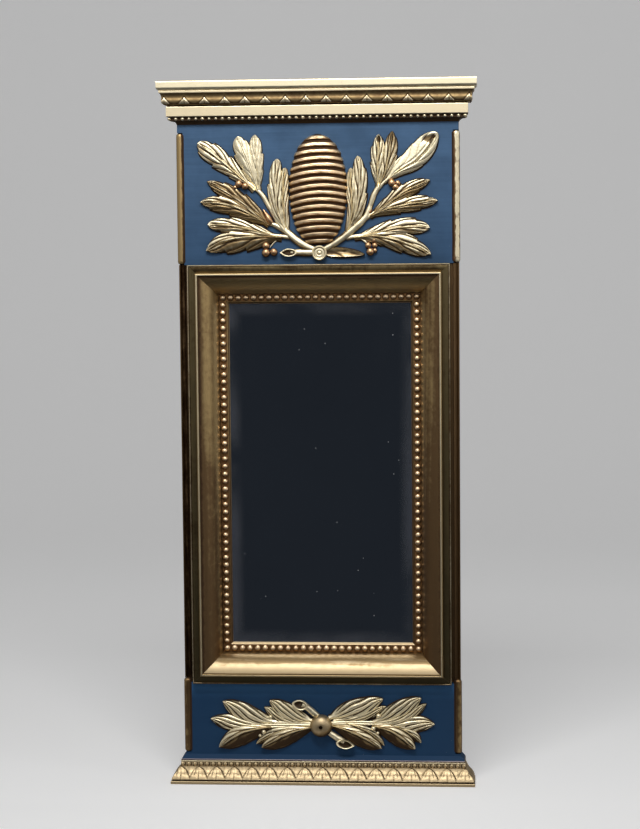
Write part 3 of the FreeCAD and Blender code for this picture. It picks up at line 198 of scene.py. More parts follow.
def traced(corners, step=0.5, closed=True):
    """Outline as evenly stepped points; a corner (a, b) starts a line, (a, b, radius, side) an arc.

    The arc bulges to the left of its way where side is 1, to the right where it is -1.
    """
    pieces = []
    for index, corner in enumerate(corners):
        if not closed and index == len(corners) - 1:
            pieces.append(np.array([corner[:2]], float))
            break
        start = np.array(corner[:2], float)
        end = np.array(corners[(index + 1) % len(corners)][:2], float)
        chord = end - start
        long = np.hypot(*chord)
        steps = max(math.ceil(long / step), 1)
        share = np.arange(steps)[:, None] / steps
        if len(corner) == 4:
            radius, side = corner[2:]
            rise = radius - math.sqrt(radius ** 2 - long ** 2 / 4)
            left = np.array([-chord[1], chord[0]]) / long * side
            centre = (start + end) / 2 + left * (rise - radius)
            half = math.asin(long / 2 / radius)
            turn = half * (2 * share - 1)
            pieces.append(centre + left * radius * np.cos(turn) + chord / long * radius * np.sin(turn))
        else:
            pieces.append(start + chord * share)
    return np.concatenate(pieces)


def outward(profile):
    """Unit normals of a closed outline, pointing out of it."""
    along = np.roll(profile, -1, axis=0) - np.roll(profile, 1, axis=0)
    normal = np.stack([along[:, 1], -along[:, 0]], axis=1)
    normal /= np.linalg.norm(normal, axis=1)[:, None] + 1e-9
    following = np.roll(profile, -1, axis=0)
    area = np.sum(profile[:, 0] * following[:, 1] - profile[:, 1] * following[:, 0])
    return normal if area > 0 else -normal


def standing_out(profile, normal, reach=5):
    """How far each point of an outline stands out of its surroundings, as 0 in a quirk to 1 on an arris."""
    window = np.hanning(reach * 2 + 3)[1:-1]
    window /= window.sum()
    around = sum(np.roll(profile, shift, axis=0) * weight
                 for shift, weight in zip(range(-reach, reach + 1), window))
    return np.clip(0.5 + np.sum((profile - around) * normal, axis=1) * 2.2, 0, 1)


def frame_side(side):
    """Whether a side of the frame lies level, half its length, and half the frame's size across it."""
    if side in ("top", "bottom"):
        return True, FRAME_HALF_WIDTH, FRAME_HALF_HEIGHT
    return False, FRAME_HALF_HEIGHT, FRAME_HALF_WIDTH


def mitred_rail(profile, side, reach, step, seed=0, tone=0.5, wander=0.12):
    """Profile of (in from the outside, back from the front) carried along one side of the frame.

    Point = ((long - in) * t, back, high - in), turned about Y; the ends fall on the mitres.
    """
    _, half_long, half_high = frame_side(side)
    normal = outward(profile)
    steps = max(int(half_long * 2 / step), 2)
    t = np.linspace(-1, 1, steps + 1)[:, None] * (1 - 0.06 / half_long)
    inset, depth = profile[None, :, 0], profile[None, :, 1]
    along = t * (half_long - inset)
    free = 1 - smooth_step(0.985, 1, np.abs(t))
    sway = ripple(seed, along, inset * 6, scale=90) * wander * free
    depth = depth + normal[None, :, 1] * sway
    high = half_high - inset - normal[None, :, 0] * sway
    x, z = turned(0, FRAME_MIDDLE, -math.radians(FRAME_TURNS[side]), along, high)
    streaks = 0.22 * ripple(seed + 60, inset, depth, along * 0.05, scale=7)
    return stacked(x, FILLET_FRONT + depth, z), standing_out(profile, normal, reach)[None, :], tone + streaks


def cornice_run(profile, side, foot, step, carve=None):
    """Profile of (out from the body, up) carried along the front or a return, mitred at the corners.

    Front: (t * (body + out), face - out, up). Return: y runs from face - out to the back.
    carve(along, out, up, relief) gives (how far it is raised, relief) at each point.
    """
    front, deep = side == "front", BACK - FACE
    normal = outward(profile)
    out, up = profile[None, :, 0], profile[None, :, 1]
    if front:
        count = int((HALF_BODY + profile[:, 0].max()) * 2 / step)
        t = np.linspace(-1, 1, count + 1)[:, None]
        along = t * (HALF_BODY + out)
    else:
        count = int((deep + profile[:, 0].max()) / step)
        t = np.linspace(0, 1, count + 1)[:, None]
        along = (FACE - out) + t * (deep + out)
    raised = np.zeros(np.broadcast(along, out).shape)
    relief = np.broadcast_to(standing_out(profile, normal, 4)[None, :], raised.shape)
    if carve is not None:
        raised, relief = carve(along if front else along - FACE, out, up, relief)
    if not front:
        raised = raised * (1 - smooth_step(BACK - 1.0, BACK, along))
    out = out + normal[None, :, 0] * raised
    up = up + normal[None, :, 1] * raised
    if front:
        return stacked(t * (HALF_BODY + out), FACE - out, foot + up), relief
    return stacked((HALF_BODY + out) * SIDE_SIGNS[side], (FACE - out) + t * (deep + out), foot + up), relief


def body_slab(low, high, rows):
    """Box as wide and as deep as the body, from one height to another."""
    across = np.linspace(-1, 1, rows)[:, None] * HALF_BODY
    return stacked(across, np.array([[FACE, BACK, BACK, FACE]]), np.array([[low, low, high, high]]))


def dome_grid(centre, radius, height, squash, spin):
    """Bead and its marks, painted dark below as shade of a light from above: radius * cos(a) ** 0.7 outwards and
    height * sin(a) up.

    The angle a runs from 0 to 90 degrees. The bead is squashed along its second way and spun about the line
    that points out of the panel.
    """
    lift = np.linspace(0, math.pi / 2, 6)[:, None]
    turn = whole_turn(14)
    reach = np.maximum(radius * np.cos(lift) ** 0.7, radius * 0.02)
    x, z = turned(centre[0], centre[2], spin, reach * np.cos(turn), reach * np.sin(turn) * squash)
    # Painted shade: marks higher on the upper part of the bead, lower underneath
    marks = np.clip(np.sin(lift) + 0.35 * (z - centre[2]) / radius, 0, 1)
    return stacked(x, centre[1] - height * np.sin(lift), z), marks


def lathe_grid(centre, section, columns):
    """Section of (out, up) turned about the line through the centre that points out of the panel."""
    out, up = section[:, :1], section[:, 1:]
    turn = whole_turn(columns)
    return stacked(centre[0] + out * np.cos(turn), centre[1] - up, centre[2] + out * np.sin(turn))


def curve_through(points, count):
    """Smooth line through given points: each stretch is a Catmull-Rom cubic of its four neighbours."""
    points = np.asarray(points, float)
    padded = np.concatenate([2 * points[:1] - points[1:2], points, 2 * points[-1:] - points[-2:-1]])
    place = np.linspace(0, len(points) - 1 - 1e-6, count)
    index = place.astype(int)
    t = (place - index)[:, None]
    a, b, c, d = (padded[index + shift] for shift in range(4))
    return 0.5 * (2 * b + (c - a) * t + (2 * a - 5 * b + 4 * c - d) * t ** 2 + (3 * b - a - 3 * c + d) * t ** 3)


def add_stem(shell, line, seed, tone, count=60, slot=0):
    """Branch on the panel: a slightly flat half round carried along a smooth line of (x, z, radius, lift)."""
    path = curve_through(line, count)
    turn = np.linspace(-0.12 * math.pi, 1.12 * math.pi, 15)[None, :]
    middle_x, middle_z, thick, lift = (path[:, column:column + 1] for column in range(4))
    grain = ripple(seed, middle_x, middle_z, turn * 3, scale=16) * 0.09
    grain = grain + ripple(seed + 50, thick, turn * 6, scale=5, octaves=2) * 0.07
    radius = thick * (1 + grain)
    up = np.maximum(lift + radius * np.sin(turn) * 0.95, 0)
    x, z = beside(path, heading(path[:, :2]), radius * np.cos(turn))
    # Painted shade: the lower side of the branch is darker and more toned
    down = np.clip((middle_z - z) / radius, 0, 1)
    relief = np.clip(0.02 + 0.86 * np.sin(turn) + grain * 3 - 0.3 * down, 0, 1)
    shell.grid(stacked(x, FACE - up, z), relief, tone + 0.3 * down, slot=slot)


def add_leaf(shell, line, halves, veins=3.3, lean=0.5, tooth=0.21, rib=1.4, lift=2.6, crown=3.4, pleat=1.0,
             blunt=0.76, root=1.0, seed=0, tone=0.5, tip_tone=None, shade=0.3, swept=0, pits=()):
    """Laurel leaf along a smooth midrib: u runs from its base to its tip, v from its right edge to its left.

    Half width = half * u ** root * (1 - u) ** blunt over that product's greatest value, less a saw of teeth.
    With f the part after the point of veins * (u - lean * |v|), height = lift + crown * (1 - |v| ** 1.6)
    + pleat * (sin(pi * f ** 0.7) - a narrow vein at f = 0) + a midrib at v = 0 + 0.8 * u ** 3, less round
    pits given as (u, v, length, width, depth). Where swept is 1 or -1, |v| in the pleats is v or -v, so that
    they sweep from edge to edge. The half that faces down is painted darker and more toned by shade, as
    painted shade of a light from above. Each edge falls to the panel over a dark rim, a painted shadow,
    1.3 wide and up to 2.7 where it faces down, slimmer at the tip.
    """
    path = curve_through(line, 121)
    step = np.diff(path, axis=0)
    reach = np.concatenate([[0], np.cumsum(np.hypot(step[:, 0], step[:, 1]))])
    along = heading(path)
    u = (reach / reach[-1])[:, None]
    v = np.linspace(-1, 1, 45)[None, :]
    far = np.abs(v)
    half = np.where(v > 0, halves[0], halves[1]) * 1.06
    # Painted shade: the half of the leaf that faces down
    below = smooth_step(0.0, 0.5, -v * along[:, :1])
    peak = root / (root + blunt)
    shape = u ** root * (1 - u) ** blunt / (peak ** root * (1 - peak) ** blunt)
    shape = np.maximum(shape, np.maximum(0.25 * (1 - u) ** 3, 0.02))
    slant = v * swept if swept else far
    phase = veins * (u - lean * slant) + (0 if swept else 0.3 * np.sign(v)) + seed * 0.17
    phase = phase + 0.3 * ripple(seed + 5, u * reach[-1], v * half * 1.5, scale=48, octaves=2)
    field = phase - np.floor(phase)
    pillow = np.sin(math.pi * field ** 0.7)
    vein = np.exp(-(np.minimum(field, 1 - field) / (0.11 if swept else 0.085)) ** 2)
    worked = smooth_step(0.08, 0.3, u) * (1 - smooth_step(0.93, 1.0, u))
    worked = worked * (1 if swept else smooth_step(0.0, 0.14, far))
    notch = veins * (u - lean) + 0.3 * np.sign(v) + seed * 0.17
    cut = tooth * (1 - (notch - np.floor(notch))) ** 1.6 * smooth_step(0.6, 1, far) * smooth_step(0.22, 0.45, u)
    across = v * half * shape * (1 - cut)
    middle = np.exp(-(v / (0.09 if rib > 0 else 0.05)) ** 2) * (1 - smooth_step(0.86, 1, u))
    groove = np.exp(-((far - 0.19) / 0.07) ** 2) * worked
    carve = ripple(seed, u * reach[-1], v * half, scale=17)
    full = smooth_step(0, 0.35, u)
    pleat = pleat * np.clip(1 - shade * 0.7 * below, 0, 1)
    dome = crown * (1 - far ** 1.6) * np.sin(math.pi * np.clip(u, 0.12, 0.94)) ** 0.55
    up = (lift * (0.75 + 0.25 * full) + dome + pleat * (pillow - 0.7 - 0.5 * vein) * worked + rib * middle
          - 0.45 * abs(rib) * groove + 0.8 * u ** 3 + 0.25 * carve)
    relief = (0.55 + pleat ** 0.5 * (0.42 * (pillow - 0.72) - 0.36 * vein) * worked
              + (0.34 if rib > 0 else 0.5) * np.clip(rib, -1, 1) * middle - 0.4 * np.clip(rib, 0, 1) * groove
              + 0.12 * smooth_step(0.86, 1, far) + 0.08 * carve - 0.15 * (1 - full)
              - 0.35 * (crown < 0) * (1 - far) - 0.34 * shade * below)
    for place_u, place_v, long, wide, deep in pits:
        pit = np.exp(-(((u - place_u) / long) ** 2 + ((v - place_v) / wide) ** 2) ** 1.5)
        up = up - deep * pit
        relief = relief - 0.4 * pit * (1 + 0.5 * carve)
        tone = tone + 0.8 * pit
    up = np.maximum(up, 0.8)
    tip = 0 if tip_tone is None else tip_tone - tone
    tone = tone + tip * smooth_step(0.66, 0.9, u) + shade * below * full
    right, left = across[:, :1], across[:, -1:]
    slim = 1 - 0.6 * smooth_step(0.85, 1, u)
    # Rims of relief 0 round the leaf: a painted shadow, wider on the side that faces down
    wide_right, wide_left = (slim * (1.3 + 1.4 * np.clip(along[:, :1] * turn, 0, 1)) for turn in (1, -1))
    across = np.concatenate([right - wide_right, right - 0.2 * wide_right, across, left + 0.2 * wide_left,
                             left + wide_left], axis=1)
    x, z = beside(path, along, across)
    border = np.zeros((len(u), 1))
    up = np.concatenate([border, up[:, :1] * 0.8, up, up[:, -1:] * 0.8, border], axis=1)
    relief = np.concatenate([border, border, np.clip(relief, 0, 1), border, border], axis=1)
    tone = np.concatenate([tone[:, :1]] * 2 + [tone] + [tone[:, -1:]] * 2, axis=1)
    shell.grid(np.stack([x, FACE - up, z], axis=-1), relief, tone)


def add_berry(shell, x, z, radius, height, tone, slot=1):
    """Round berry: a dome whose sides draw in again under its widest ring."""
    turn = np.linspace(-0.28 * math.pi, 0.5 * math.pi, 12)
    section = np.stack([np.maximum(radius * np.cos(turn), 0.02), height * (0.5 + 0.5 * np.sin(turn))], axis=1)
    section[0, 1] = 0
    points = lathe_grid((x, FACE, z), section, 22)
    # Painted light and shade: the top of the berry lighter, its lower side darker
    mark = 0.1 + 0.8 * smooth_step(-0.2, 1.2, turn)[:, None] + 0.3 * (points[..., 2] - z) / radius
    shell.grid(points, np.clip(mark, 0, 1), tone, slot=slot)


def add_cut_end(shell, centre, half_long, half_wide, slant, rise, point, tone, lean):
    """Open end of a cut branch: rings of an ellipse, pointed at one end, that climb to a rim and sink inside.

    Ring = share * (half_long * cos t, half_wide * sin t * (1 - point * cos(t) ** 2 where cos t > 0)), and the
    rim stands lean lower on its far side. Its section lists (share, height, relief).
    """
    section = np.array([(0.90, 0.0, 0.0), (1.0, 0.35, 0.2), (1.02, 0.75, 0.55), (1.0, 0.93, 0.9),
                        (0.94, 1.0, 1.0), (0.85, 0.99, 1.0), (0.77, 0.90, 0.45), (0.70, 0.74, 0.08),
                        (0.52, 0.55, 0.0), (0.30, 0.48, 0.06), (0.03, 0.46, 0.10)])
    turn = whole_turn(48)
    share, level, mark = section[:, :1], section[:, 1:2], section[:, 2:]
    long = half_long * np.cos(turn) * share
    wide = half_wide * np.sin(turn) * share * (1 - point * np.clip(np.cos(turn), 0, 1) ** 2)
    x, z = turned(*centre, slant, long, wide)
    up = rise * level * (1 - lean * (0.5 - 0.5 * np.sin(turn)) * share)
    shell.grid(stacked(x, FACE - up, z), mark, tone)


# Finishes

class Nodes:
    """Short calls for wiring a node tree."""

    def __init__(self, tree):
        self.tree = tree

    def fill(self, node, inputs):
        """Links each given socket to the input of that name, and sets the other inputs to their values."""
        for key, value in inputs.items():
            if isinstance(value, bpy.types.NodeSocket):
                self.tree.links.new(value, node.inputs[key])
            else:
                node.inputs[key].default_value = value

    def add(self, kind, inputs=None, **settings):
        """New node with its settings and inputs."""
        node = self.tree.nodes.new(kind)
        for key, value in settings.items():
            setattr(node, key, value)
        self.fill(node, inputs or {})
        return node

    def math(self, operation, a, b=0.0, clamp=False):
        """Value of one Math node."""
        return self.add("ShaderNodeMath", {0: a, 1: b}, operation=operation, use_clamp=clamp).outputs[0]

    def plus(self, a, b):
        """Sum of two values."""
        return self.math("ADD", a, b)

    def times(self, a, b):
        """Product of two values."""
        return self.math("MULTIPLY", a, b)

    def weigh(self, middle, *parts, offset=None):
        """Sum of weights times how far each value is from the middle, about the middle or an offset."""
        total = middle if offset is None else offset
        for value, weight in parts:
            total = self.plus(total, self.times(self.math("SUBTRACT", value, middle), weight))
        return total

    def mix(self, share, a, b):
        """Colour a, turned into colour b by the share."""
        return self.add("ShaderNodeMix", {0: share, 6: a, 7: b}, data_type="RGBA").outputs[2]

    def noise(self, vector, scale, detail=4.0, roughness=0.55, distortion=0.0):
        """Cloudy noise from zero to one."""
        return self.add("ShaderNodeTexNoise", {"Vector": vector, "Scale": scale, "Detail": detail,
                                               "Roughness": roughness, "Distortion": distortion}).outputs["Fac"]

    def stretch(self, vector, scale):
        """Place scaled along each axis."""
        return self.add("ShaderNodeMapping", {"Vector": vector, "Scale": scale}).outputs[0]

    def between(self, value, low, high):
        """Zero to one, in an even S, as the value goes from low to high."""
        return self.add("ShaderNodeMapRange", {"Value": value, "From Min": low, "From Max": high},
                        interpolation_type="SMOOTHSTEP").outputs[0]

    def bump(self, height, strength, distance):
        """Normal that a height raises, its distance in metres."""
        node = self.add("ShaderNodeBump", {"Height": height, "Strength": strength, "Distance": distance})
        return node.outputs[0]

    def mark(self, name):
        """Value that the mesh carries under this name."""
        return self.add("ShaderNodeAttribute", attribute_name=name, attribute_type="GEOMETRY").outputs["Fac"]


def new_group(name, inputs, outputs):
    """Calls for wiring a new shader group with named sockets, and the group; None where it is already made."""
    made = bpy.data.node_groups.get(name)
    if made is not None:
        return None, made
    tree = bpy.data.node_groups.new(name, "ShaderNodeTree")
    for label, kind, value in inputs:
        socket = tree.interface.new_socket(name=label, in_out="INPUT", socket_type="NodeSocket" + kind)
        if value is not None:
            socket.default_value = value
    for label, kind in outputs:
        tree.interface.new_socket(name=label, in_out="OUTPUT", socket_type="NodeSocket" + kind)
    return Nodes(tree), tree


def new_material(name):
    """New material, calls for wiring it, and its Principled shader."""
    material = bpy.data.materials.new(name)
    material.use_nodes = True
    return material, Nodes(material.node_tree), material.node_tree.nodes["Principled BSDF"]


def tinted(colour, factors, lift=0.0):
    """Colour times one factor, or one for each of its parts, with full alpha."""
    return (*np.minimum(np.array(colour) * factors + lift, 1), 1)


def gilding_group():
    """Rubbed leaf over red-brown bole: speckled on the heights, toned on the flats, dark with grime in the
    hollows, and dark with painted shade wherever the marks paint shade or shadow.
    """
    nodes, tree = new_group("rubbed_gilding", [
        ("Vector", "Vector", None), ("Relief_and_shade", "Float", 0.5), ("Tone", "Float", 0.5),
        ("Leaf", "Color", (0.8, 0.6, 0.3, 1)), ("Toned", "Color", (0.4, 0.28, 0.12, 1)),
        ("Bole", "Color", (0.2, 0.06, 0.03, 1)), ("Grime_and_shade", "Color", (0.03, 0.02, 0.01, 1)),
        ("Toning", "Float", 0.5), ("Rubbing", "Float", 0.5), ("Gloss", "Float", 0.5),
    ], [("Color", "Color"), ("Roughness", "Float"), ("Metallic", "Float"), ("Height", "Float")])
    if nodes is None:
        return tree
    given = nodes.add("NodeGroupInput").outputs
    vector = given["Vector"]
    cloud = nodes.noise(vector, 26.0, 5.0, 0.6)
    patch = nodes.noise(vector, 130.0, 6.0, 0.62, 0.4)
    speck = nodes.noise(vector, 800.0, 3.0, 0.7)
    grain = nodes.noise(vector, 2400.0, 2.0, 0.6)
    # The tone mark also carries painted shade on undersides and on sides turned from the light
    toned = nodes.weigh(0.5, (cloud, 0.6), (patch, 0.7), (given["Toning"], 1.0), (given["Tone"], 0.7),
                        (given["Relief_and_shade"], -1.35))
    colour = nodes.mix(nodes.between(toned, 0.28, 0.80), given["Leaf"], given["Toned"])
    rubbed = nodes.weigh(0.5, (patch, 0.55), (speck, 0.55), (given["Rubbing"], 0.35), (given["Tone"], 0.08))
    bole = nodes.between(rubbed, 0.62, 0.74)
    colour = nodes.mix(bole, colour, given["Bole"])
    # Grime in the hollows, and painted shade and shadow where the relief and tone marks are painted low
    grime_and_shade_mask = nodes.between(nodes.weigh(0.5, (given["Relief_and_shade"], 1.0), (patch, 0.3), (speck, 0.15)), 0.32, 0.06)
    colour = nodes.mix(nodes.times(grime_and_shade_mask, 0.92), colour, given["Grime_and_shade"])
    colour = nodes.mix(nodes.times(nodes.between(speck, 0.65, 0.73), 0.5), colour, given["Grime_and_shade"])
    worn = nodes.math("MAXIMUM", bole, nodes.times(grime_and_shade_mask, 0.9))
    rough = nodes.weigh(0.0, (worn, 0.25), (patch, 0.2), (given["Gloss"], -0.3), offset=0.40)
    metal = nodes.math("SUBTRACT", 1.0, nodes.times(worn, 0.6))
    height = nodes.weigh(0.0, (patch, 0.6), (speck, 0.3), (grain, 0.12))
    nodes.add("NodeGroupOutput", {"Color": colour, "Roughness": rough, "Metallic": metal, "Height": height})
    return tree


def dust_group():
    """Fine specks and soft smears, as masks."""
    nodes, tree = new_group("dust_and_smears", [("Vector", "Vector", None), ("Amount", "Float", 0.5)],
                            [("Specks", "Float"), ("Smears", "Float")])
    if nodes is None:
        return tree
    given = nodes.add("NodeGroupInput").outputs
    cell = nodes.add("ShaderNodeTexVoronoi", {"Vector": given["Vector"], "Scale": 150.0, "Randomness": 1.0})
    lot = nodes.add("ShaderNodeSeparateColor", {0: cell.outputs["Color"]}).outputs[0]
    chosen = nodes.math("GREATER_THAN", lot, nodes.math("SUBTRACT", 1.0, nodes.times(given["Amount"], 0.25)))
    specks = nodes.times(nodes.between(cell.outputs["Distance"], 0.11, 0.05), chosen)
    cloud = nodes.noise(nodes.stretch(given["Vector"], (1.0, 1.0, 0.45)), 9.0, 5.0, 0.6, 0.6)
    smears = nodes.between(cloud, 0.42, 0.72)
    nodes.add("NodeGroupOutput", {"Specks": specks, "Smears": smears})
    return tree


# For each gilding: which colours are its leaf and its toned leaf, then its toning, rubbing, bump and gloss
GILDINGS = {
    "carved_gilt": ("pale", "toned", 0.46, 0.46, 0.35, 0.15),
    "bright_gilt": ("leaf", "toned", 0.28, 0.38, 0.2, 0.25),
    "pale_gilt": ("pale", "toned", 0.25, 0.36, 0.2, 0.25),
    "faded_gilt": ("faded", "toned", 0.32, 0.3, 0.25, 0.15),
    "old_gilt": ("old", "bronze", 0.45, 0.42, 0.25, 0.15),
    "warm_gilt": ("warm", "red_toned", 0.46, 0.5, 0.35, 0.15),
    "mottled_gilt": ("pale", "bronze", 0.5, 0.62, 0.35, 0.15),
    "pearl_gilt": ("warm", "red_toned", 0.5, 0.4, 0.2, 0.3),
    "grey_gilt": ("grey", "grime_and_shade", 0.2, 0.3, 0.2, 0.2),
    "worn_gilt": ("leaf", "bronze", 0.55, 0.5, 0.2, 0.4),
    "olive_gilt": ("olive", "grime_and_shade", 0.38, 0.3, 0.25, 0.5),
    "bronze_gilt": ("bronze", "grime_and_shade", 0.3, 0.36, 0.25, 0.4),
    "red_gilt": ("copper", "bole", 0.45, 0.5, 0.3, 0.4),
}


def gilding(nodes, place, colours, leaf, toned, toning, rubbing, bump, gloss):
    """Sockets of a gilding; the piece's own relief and tone marks steer it."""
    leafed = nodes.add("ShaderNodeGroup", {
        "Vector": place, "Relief_and_shade": nodes.mark("relief"), "Tone": nodes.mark("tone"),
        "Leaf": (*getattr(colours, leaf), 1), "Toned": (*getattr(colours, toned), 1),
        "Bole": (*colours.bole, 1), "Grime_and_shade": (*colours.grime_and_shade, 1), "Toning": toning, "Rubbing": rubbing,
        "Gloss": gloss,
    }, node_tree=gilding_group()).outputs
    return {"Base Color": leafed["Color"], "Roughness": leafed["Roughness"], "Metallic": leafed["Metallic"],
            "Specular IOR Level": 0.2, "Normal": nodes.bump(leafed["Height"], bump, 0.0004)}


def blue_distemper(nodes, place, colours):
    """Matt blue paint with brush marks, clouding, specks and smears.

    It is darker lower down, and painted lighter just under the frame, as painted light over the frame's shadow.
    """
    blue = colours.blue
    cloud = nodes.noise(place, 14.0, 4.0, 0.6)
    brush = nodes.noise(nodes.stretch(place, (9.0, 60.0, 300.0)), 1.0, 4.0, 0.55)
    fine = nodes.noise(place, 1500.0, 2.0, 0.5)
    dust = nodes.add("ShaderNodeGroup", {"Vector": place, "Amount": 0.5}, node_tree=dust_group()).outputs
    shade = nodes.plus(nodes.times(cloud, 0.75), nodes.times(brush, 0.25))
    colour = nodes.mix(nodes.between(shade, 0.34, 0.66), tinted(blue, 0.84), tinted(blue, 1.18, 0.004))
    level = nodes.add("ShaderNodeSeparateXYZ", {0: place}).outputs[2]
    lower = nodes.plus(nodes.times(nodes.between(level, 0.86, 0.62), 0.5),
                       nodes.times(nodes.between(level, 0.60, 0.20), 0.4))
    colour = nodes.mix(lower, colour, tinted(blue, (0.12, 0.32, 0.45)))
    # Painted light: a lighter band just under the frame, where the frame's shadow falls
    painted_light_band = nodes.times(nodes.between(level, 0.106, 0.126), nodes.between(level, 0.20, 0.15))
    colour = nodes.mix(painted_light_band, colour, tinted(blue, (0.5, 0.85, 1.05)))
    colour = nodes.mix(nodes.times(dust["Specks"], 0.35), colour, (0.16, 0.2, 0.24, 1))
    colour = nodes.mix(nodes.times(dust["Smears"], 0.16), colour, (0.03, 0.055, 0.09, 1))
    height = nodes.plus(nodes.times(brush, 0.7), nodes.times(fine, 0.25))
    return {"Base Color": colour, "Roughness": nodes.plus(0.52, nodes.times(cloud, 0.18)),
            "Specular IOR Level": 0.15, "Normal": nodes.bump(height, 0.22, 0.0005)}


def old_pine(nodes, place, colours):
    """Unpainted pine, darkened: bands and fibres that run upwards, soft bends and grime."""
    wood = colours.pine
    bent = nodes.noise(nodes.stretch(place, (4.0, 4.0, 1.2)), 2.4, 3.0, 0.5)
    lines = nodes.add("ShaderNodeTexWave", {
        "Vector": nodes.stretch(place, (1.0, 1.0, 0.08)), "Scale": 52.0, "Distortion": 9.0, "Detail": 3.0,
        "Detail Scale": 1.6, "Detail Roughness": 0.6,
    }, wave_type="BANDS", bands_direction="DIAGONAL").outputs["Fac"]
    fibre = nodes.noise(nodes.stretch(place, (900.0, 900.0, 30.0)), 1.0, 3.0, 0.6)
    grime = nodes.noise(place, 11.0, 5.0, 0.6)
    dark = tinted(wood, 0.5)
    colour = nodes.mix(nodes.plus(nodes.times(lines, 0.6), nodes.times(bent, 0.3)), tinted(wood, 1.25), dark)
    colour = nodes.mix(nodes.times(fibre, 0.35), colour, dark)
    colour = nodes.mix(nodes.times(nodes.between(grime, 0.45, 0.75), 0.5), colour, (0.06, 0.04, 0.028, 1))
    height = nodes.plus(nodes.times(fibre, 0.6), nodes.times(lines, 0.3))
    return {"Base Color": colour, "Roughness": nodes.plus(0.62, nodes.times(grime, 0.2)),
            "Normal": nodes.bump(height, 0.35, 0.0006)}


def silvered_glass(nodes, place, colours):
    """Old plate: a dulled silvering under glass, faint clouds, a bluish clouded rim and a few specks."""
    silver = colours.silver
    dust = nodes.add("ShaderNodeGroup", {"Vector": place, "Amount": 0.2}, node_tree=dust_group()).outputs
    cloud = nodes.noise(place, 7.0, 5.0, 0.6, 0.5)
    colour = nodes.mix(nodes.times(nodes.between(cloud, 0.4, 0.75), 0.25), (*silver, 1), tinted(silver, 0.8))
    colour = nodes.mix(nodes.times(dust["Specks"], 0.3), colour, (0.2, 0.2, 0.2, 1))
    rough = nodes.plus(0.035, nodes.times(dust["Smears"], 0.05))
    rough = nodes.plus(rough, nodes.times(dust["Specks"], 0.5))
    parts = nodes.add("ShaderNodeSeparateXYZ", {0: place}).outputs
    across = nodes.math("ABSOLUTE", parts[0])
    high = nodes.math("ABSOLUTE", nodes.math("SUBTRACT", parts[2], FRAME_MIDDLE * MM))
    rim = nodes.math("MAXIMUM", nodes.between(across, 0.098, 0.120), nodes.between(high, 0.200, 0.224))
    bloom = nodes.times(rim, nodes.between(cloud, 0.30, 0.70))
    colour = nodes.mix(nodes.times(bloom, 0.6), colour, (0.05, 0.085, 0.22, 1))
    metal = nodes.math("SUBTRACT", 1.0, nodes.times(dust["Specks"], 0.5))
    metal = nodes.math("SUBTRACT", metal, nodes.times(bloom, 0.17), clamp=True)
    return {"Base Color": colour, "Roughness": rough, "Metallic": metal,
            "Normal": nodes.bump(nodes.noise(place, 16.0, 2.0, 0.5), 0.04, 0.0008)}


def forged_iron(nodes, place, colours):
    """Hammered iron with thin rust."""
    blows = nodes.noise(place, 260.0, 3.0, 0.5)
    rust = nodes.noise(place, 420.0, 5.0, 0.65)
    rusty = nodes.between(rust, 0.5, 0.68)
    return {"Base Color": nodes.mix(rusty, (*colours.iron, 1), (0.16, 0.065, 0.028, 1)),
            "Roughness": nodes.plus(0.38, nodes.times(rust, 0.35)),
            "Metallic": nodes.math("SUBTRACT", 0.95, nodes.times(rusty, 0.8)),
            "Normal": nodes.bump(nodes.plus(blows, nodes.times(rust, 0.4)), 0.4, 0.0004)}


FINISHES = {"blue_distemper": blue_distemper, "old_pine": old_pine, "silvered_glass": silvered_glass,
            "forged_iron": forged_iron}


def finish(name):
    """Material of a gilding or another finish, made the first time it is asked for."""
    if name not in bpy.data.materials:
        _, nodes, shader = new_material(name)
        given = nodes, nodes.add("ShaderNodeTexCoord").outputs["Object"], bpy.context.scene.mirror_colours
        nodes.fill(shader, gilding(*given, *GILDINGS[name]) if name in GILDINGS else FINISHES[name](*given))
    return bpy.data.materials[name]


def finish_nodes(names, material):
    """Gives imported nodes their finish."""
    for name in names:
        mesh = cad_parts[name].data
        mesh.materials.clear()
        mesh.materials.append(finish(material))


# Ornament, in millimetres on the panel: x from the middle, z above the foot. A leaf has the line of its midrib
# and its left and right half widths; a stem has points (x, z, radius, lift); a berry is (x, z, radius).

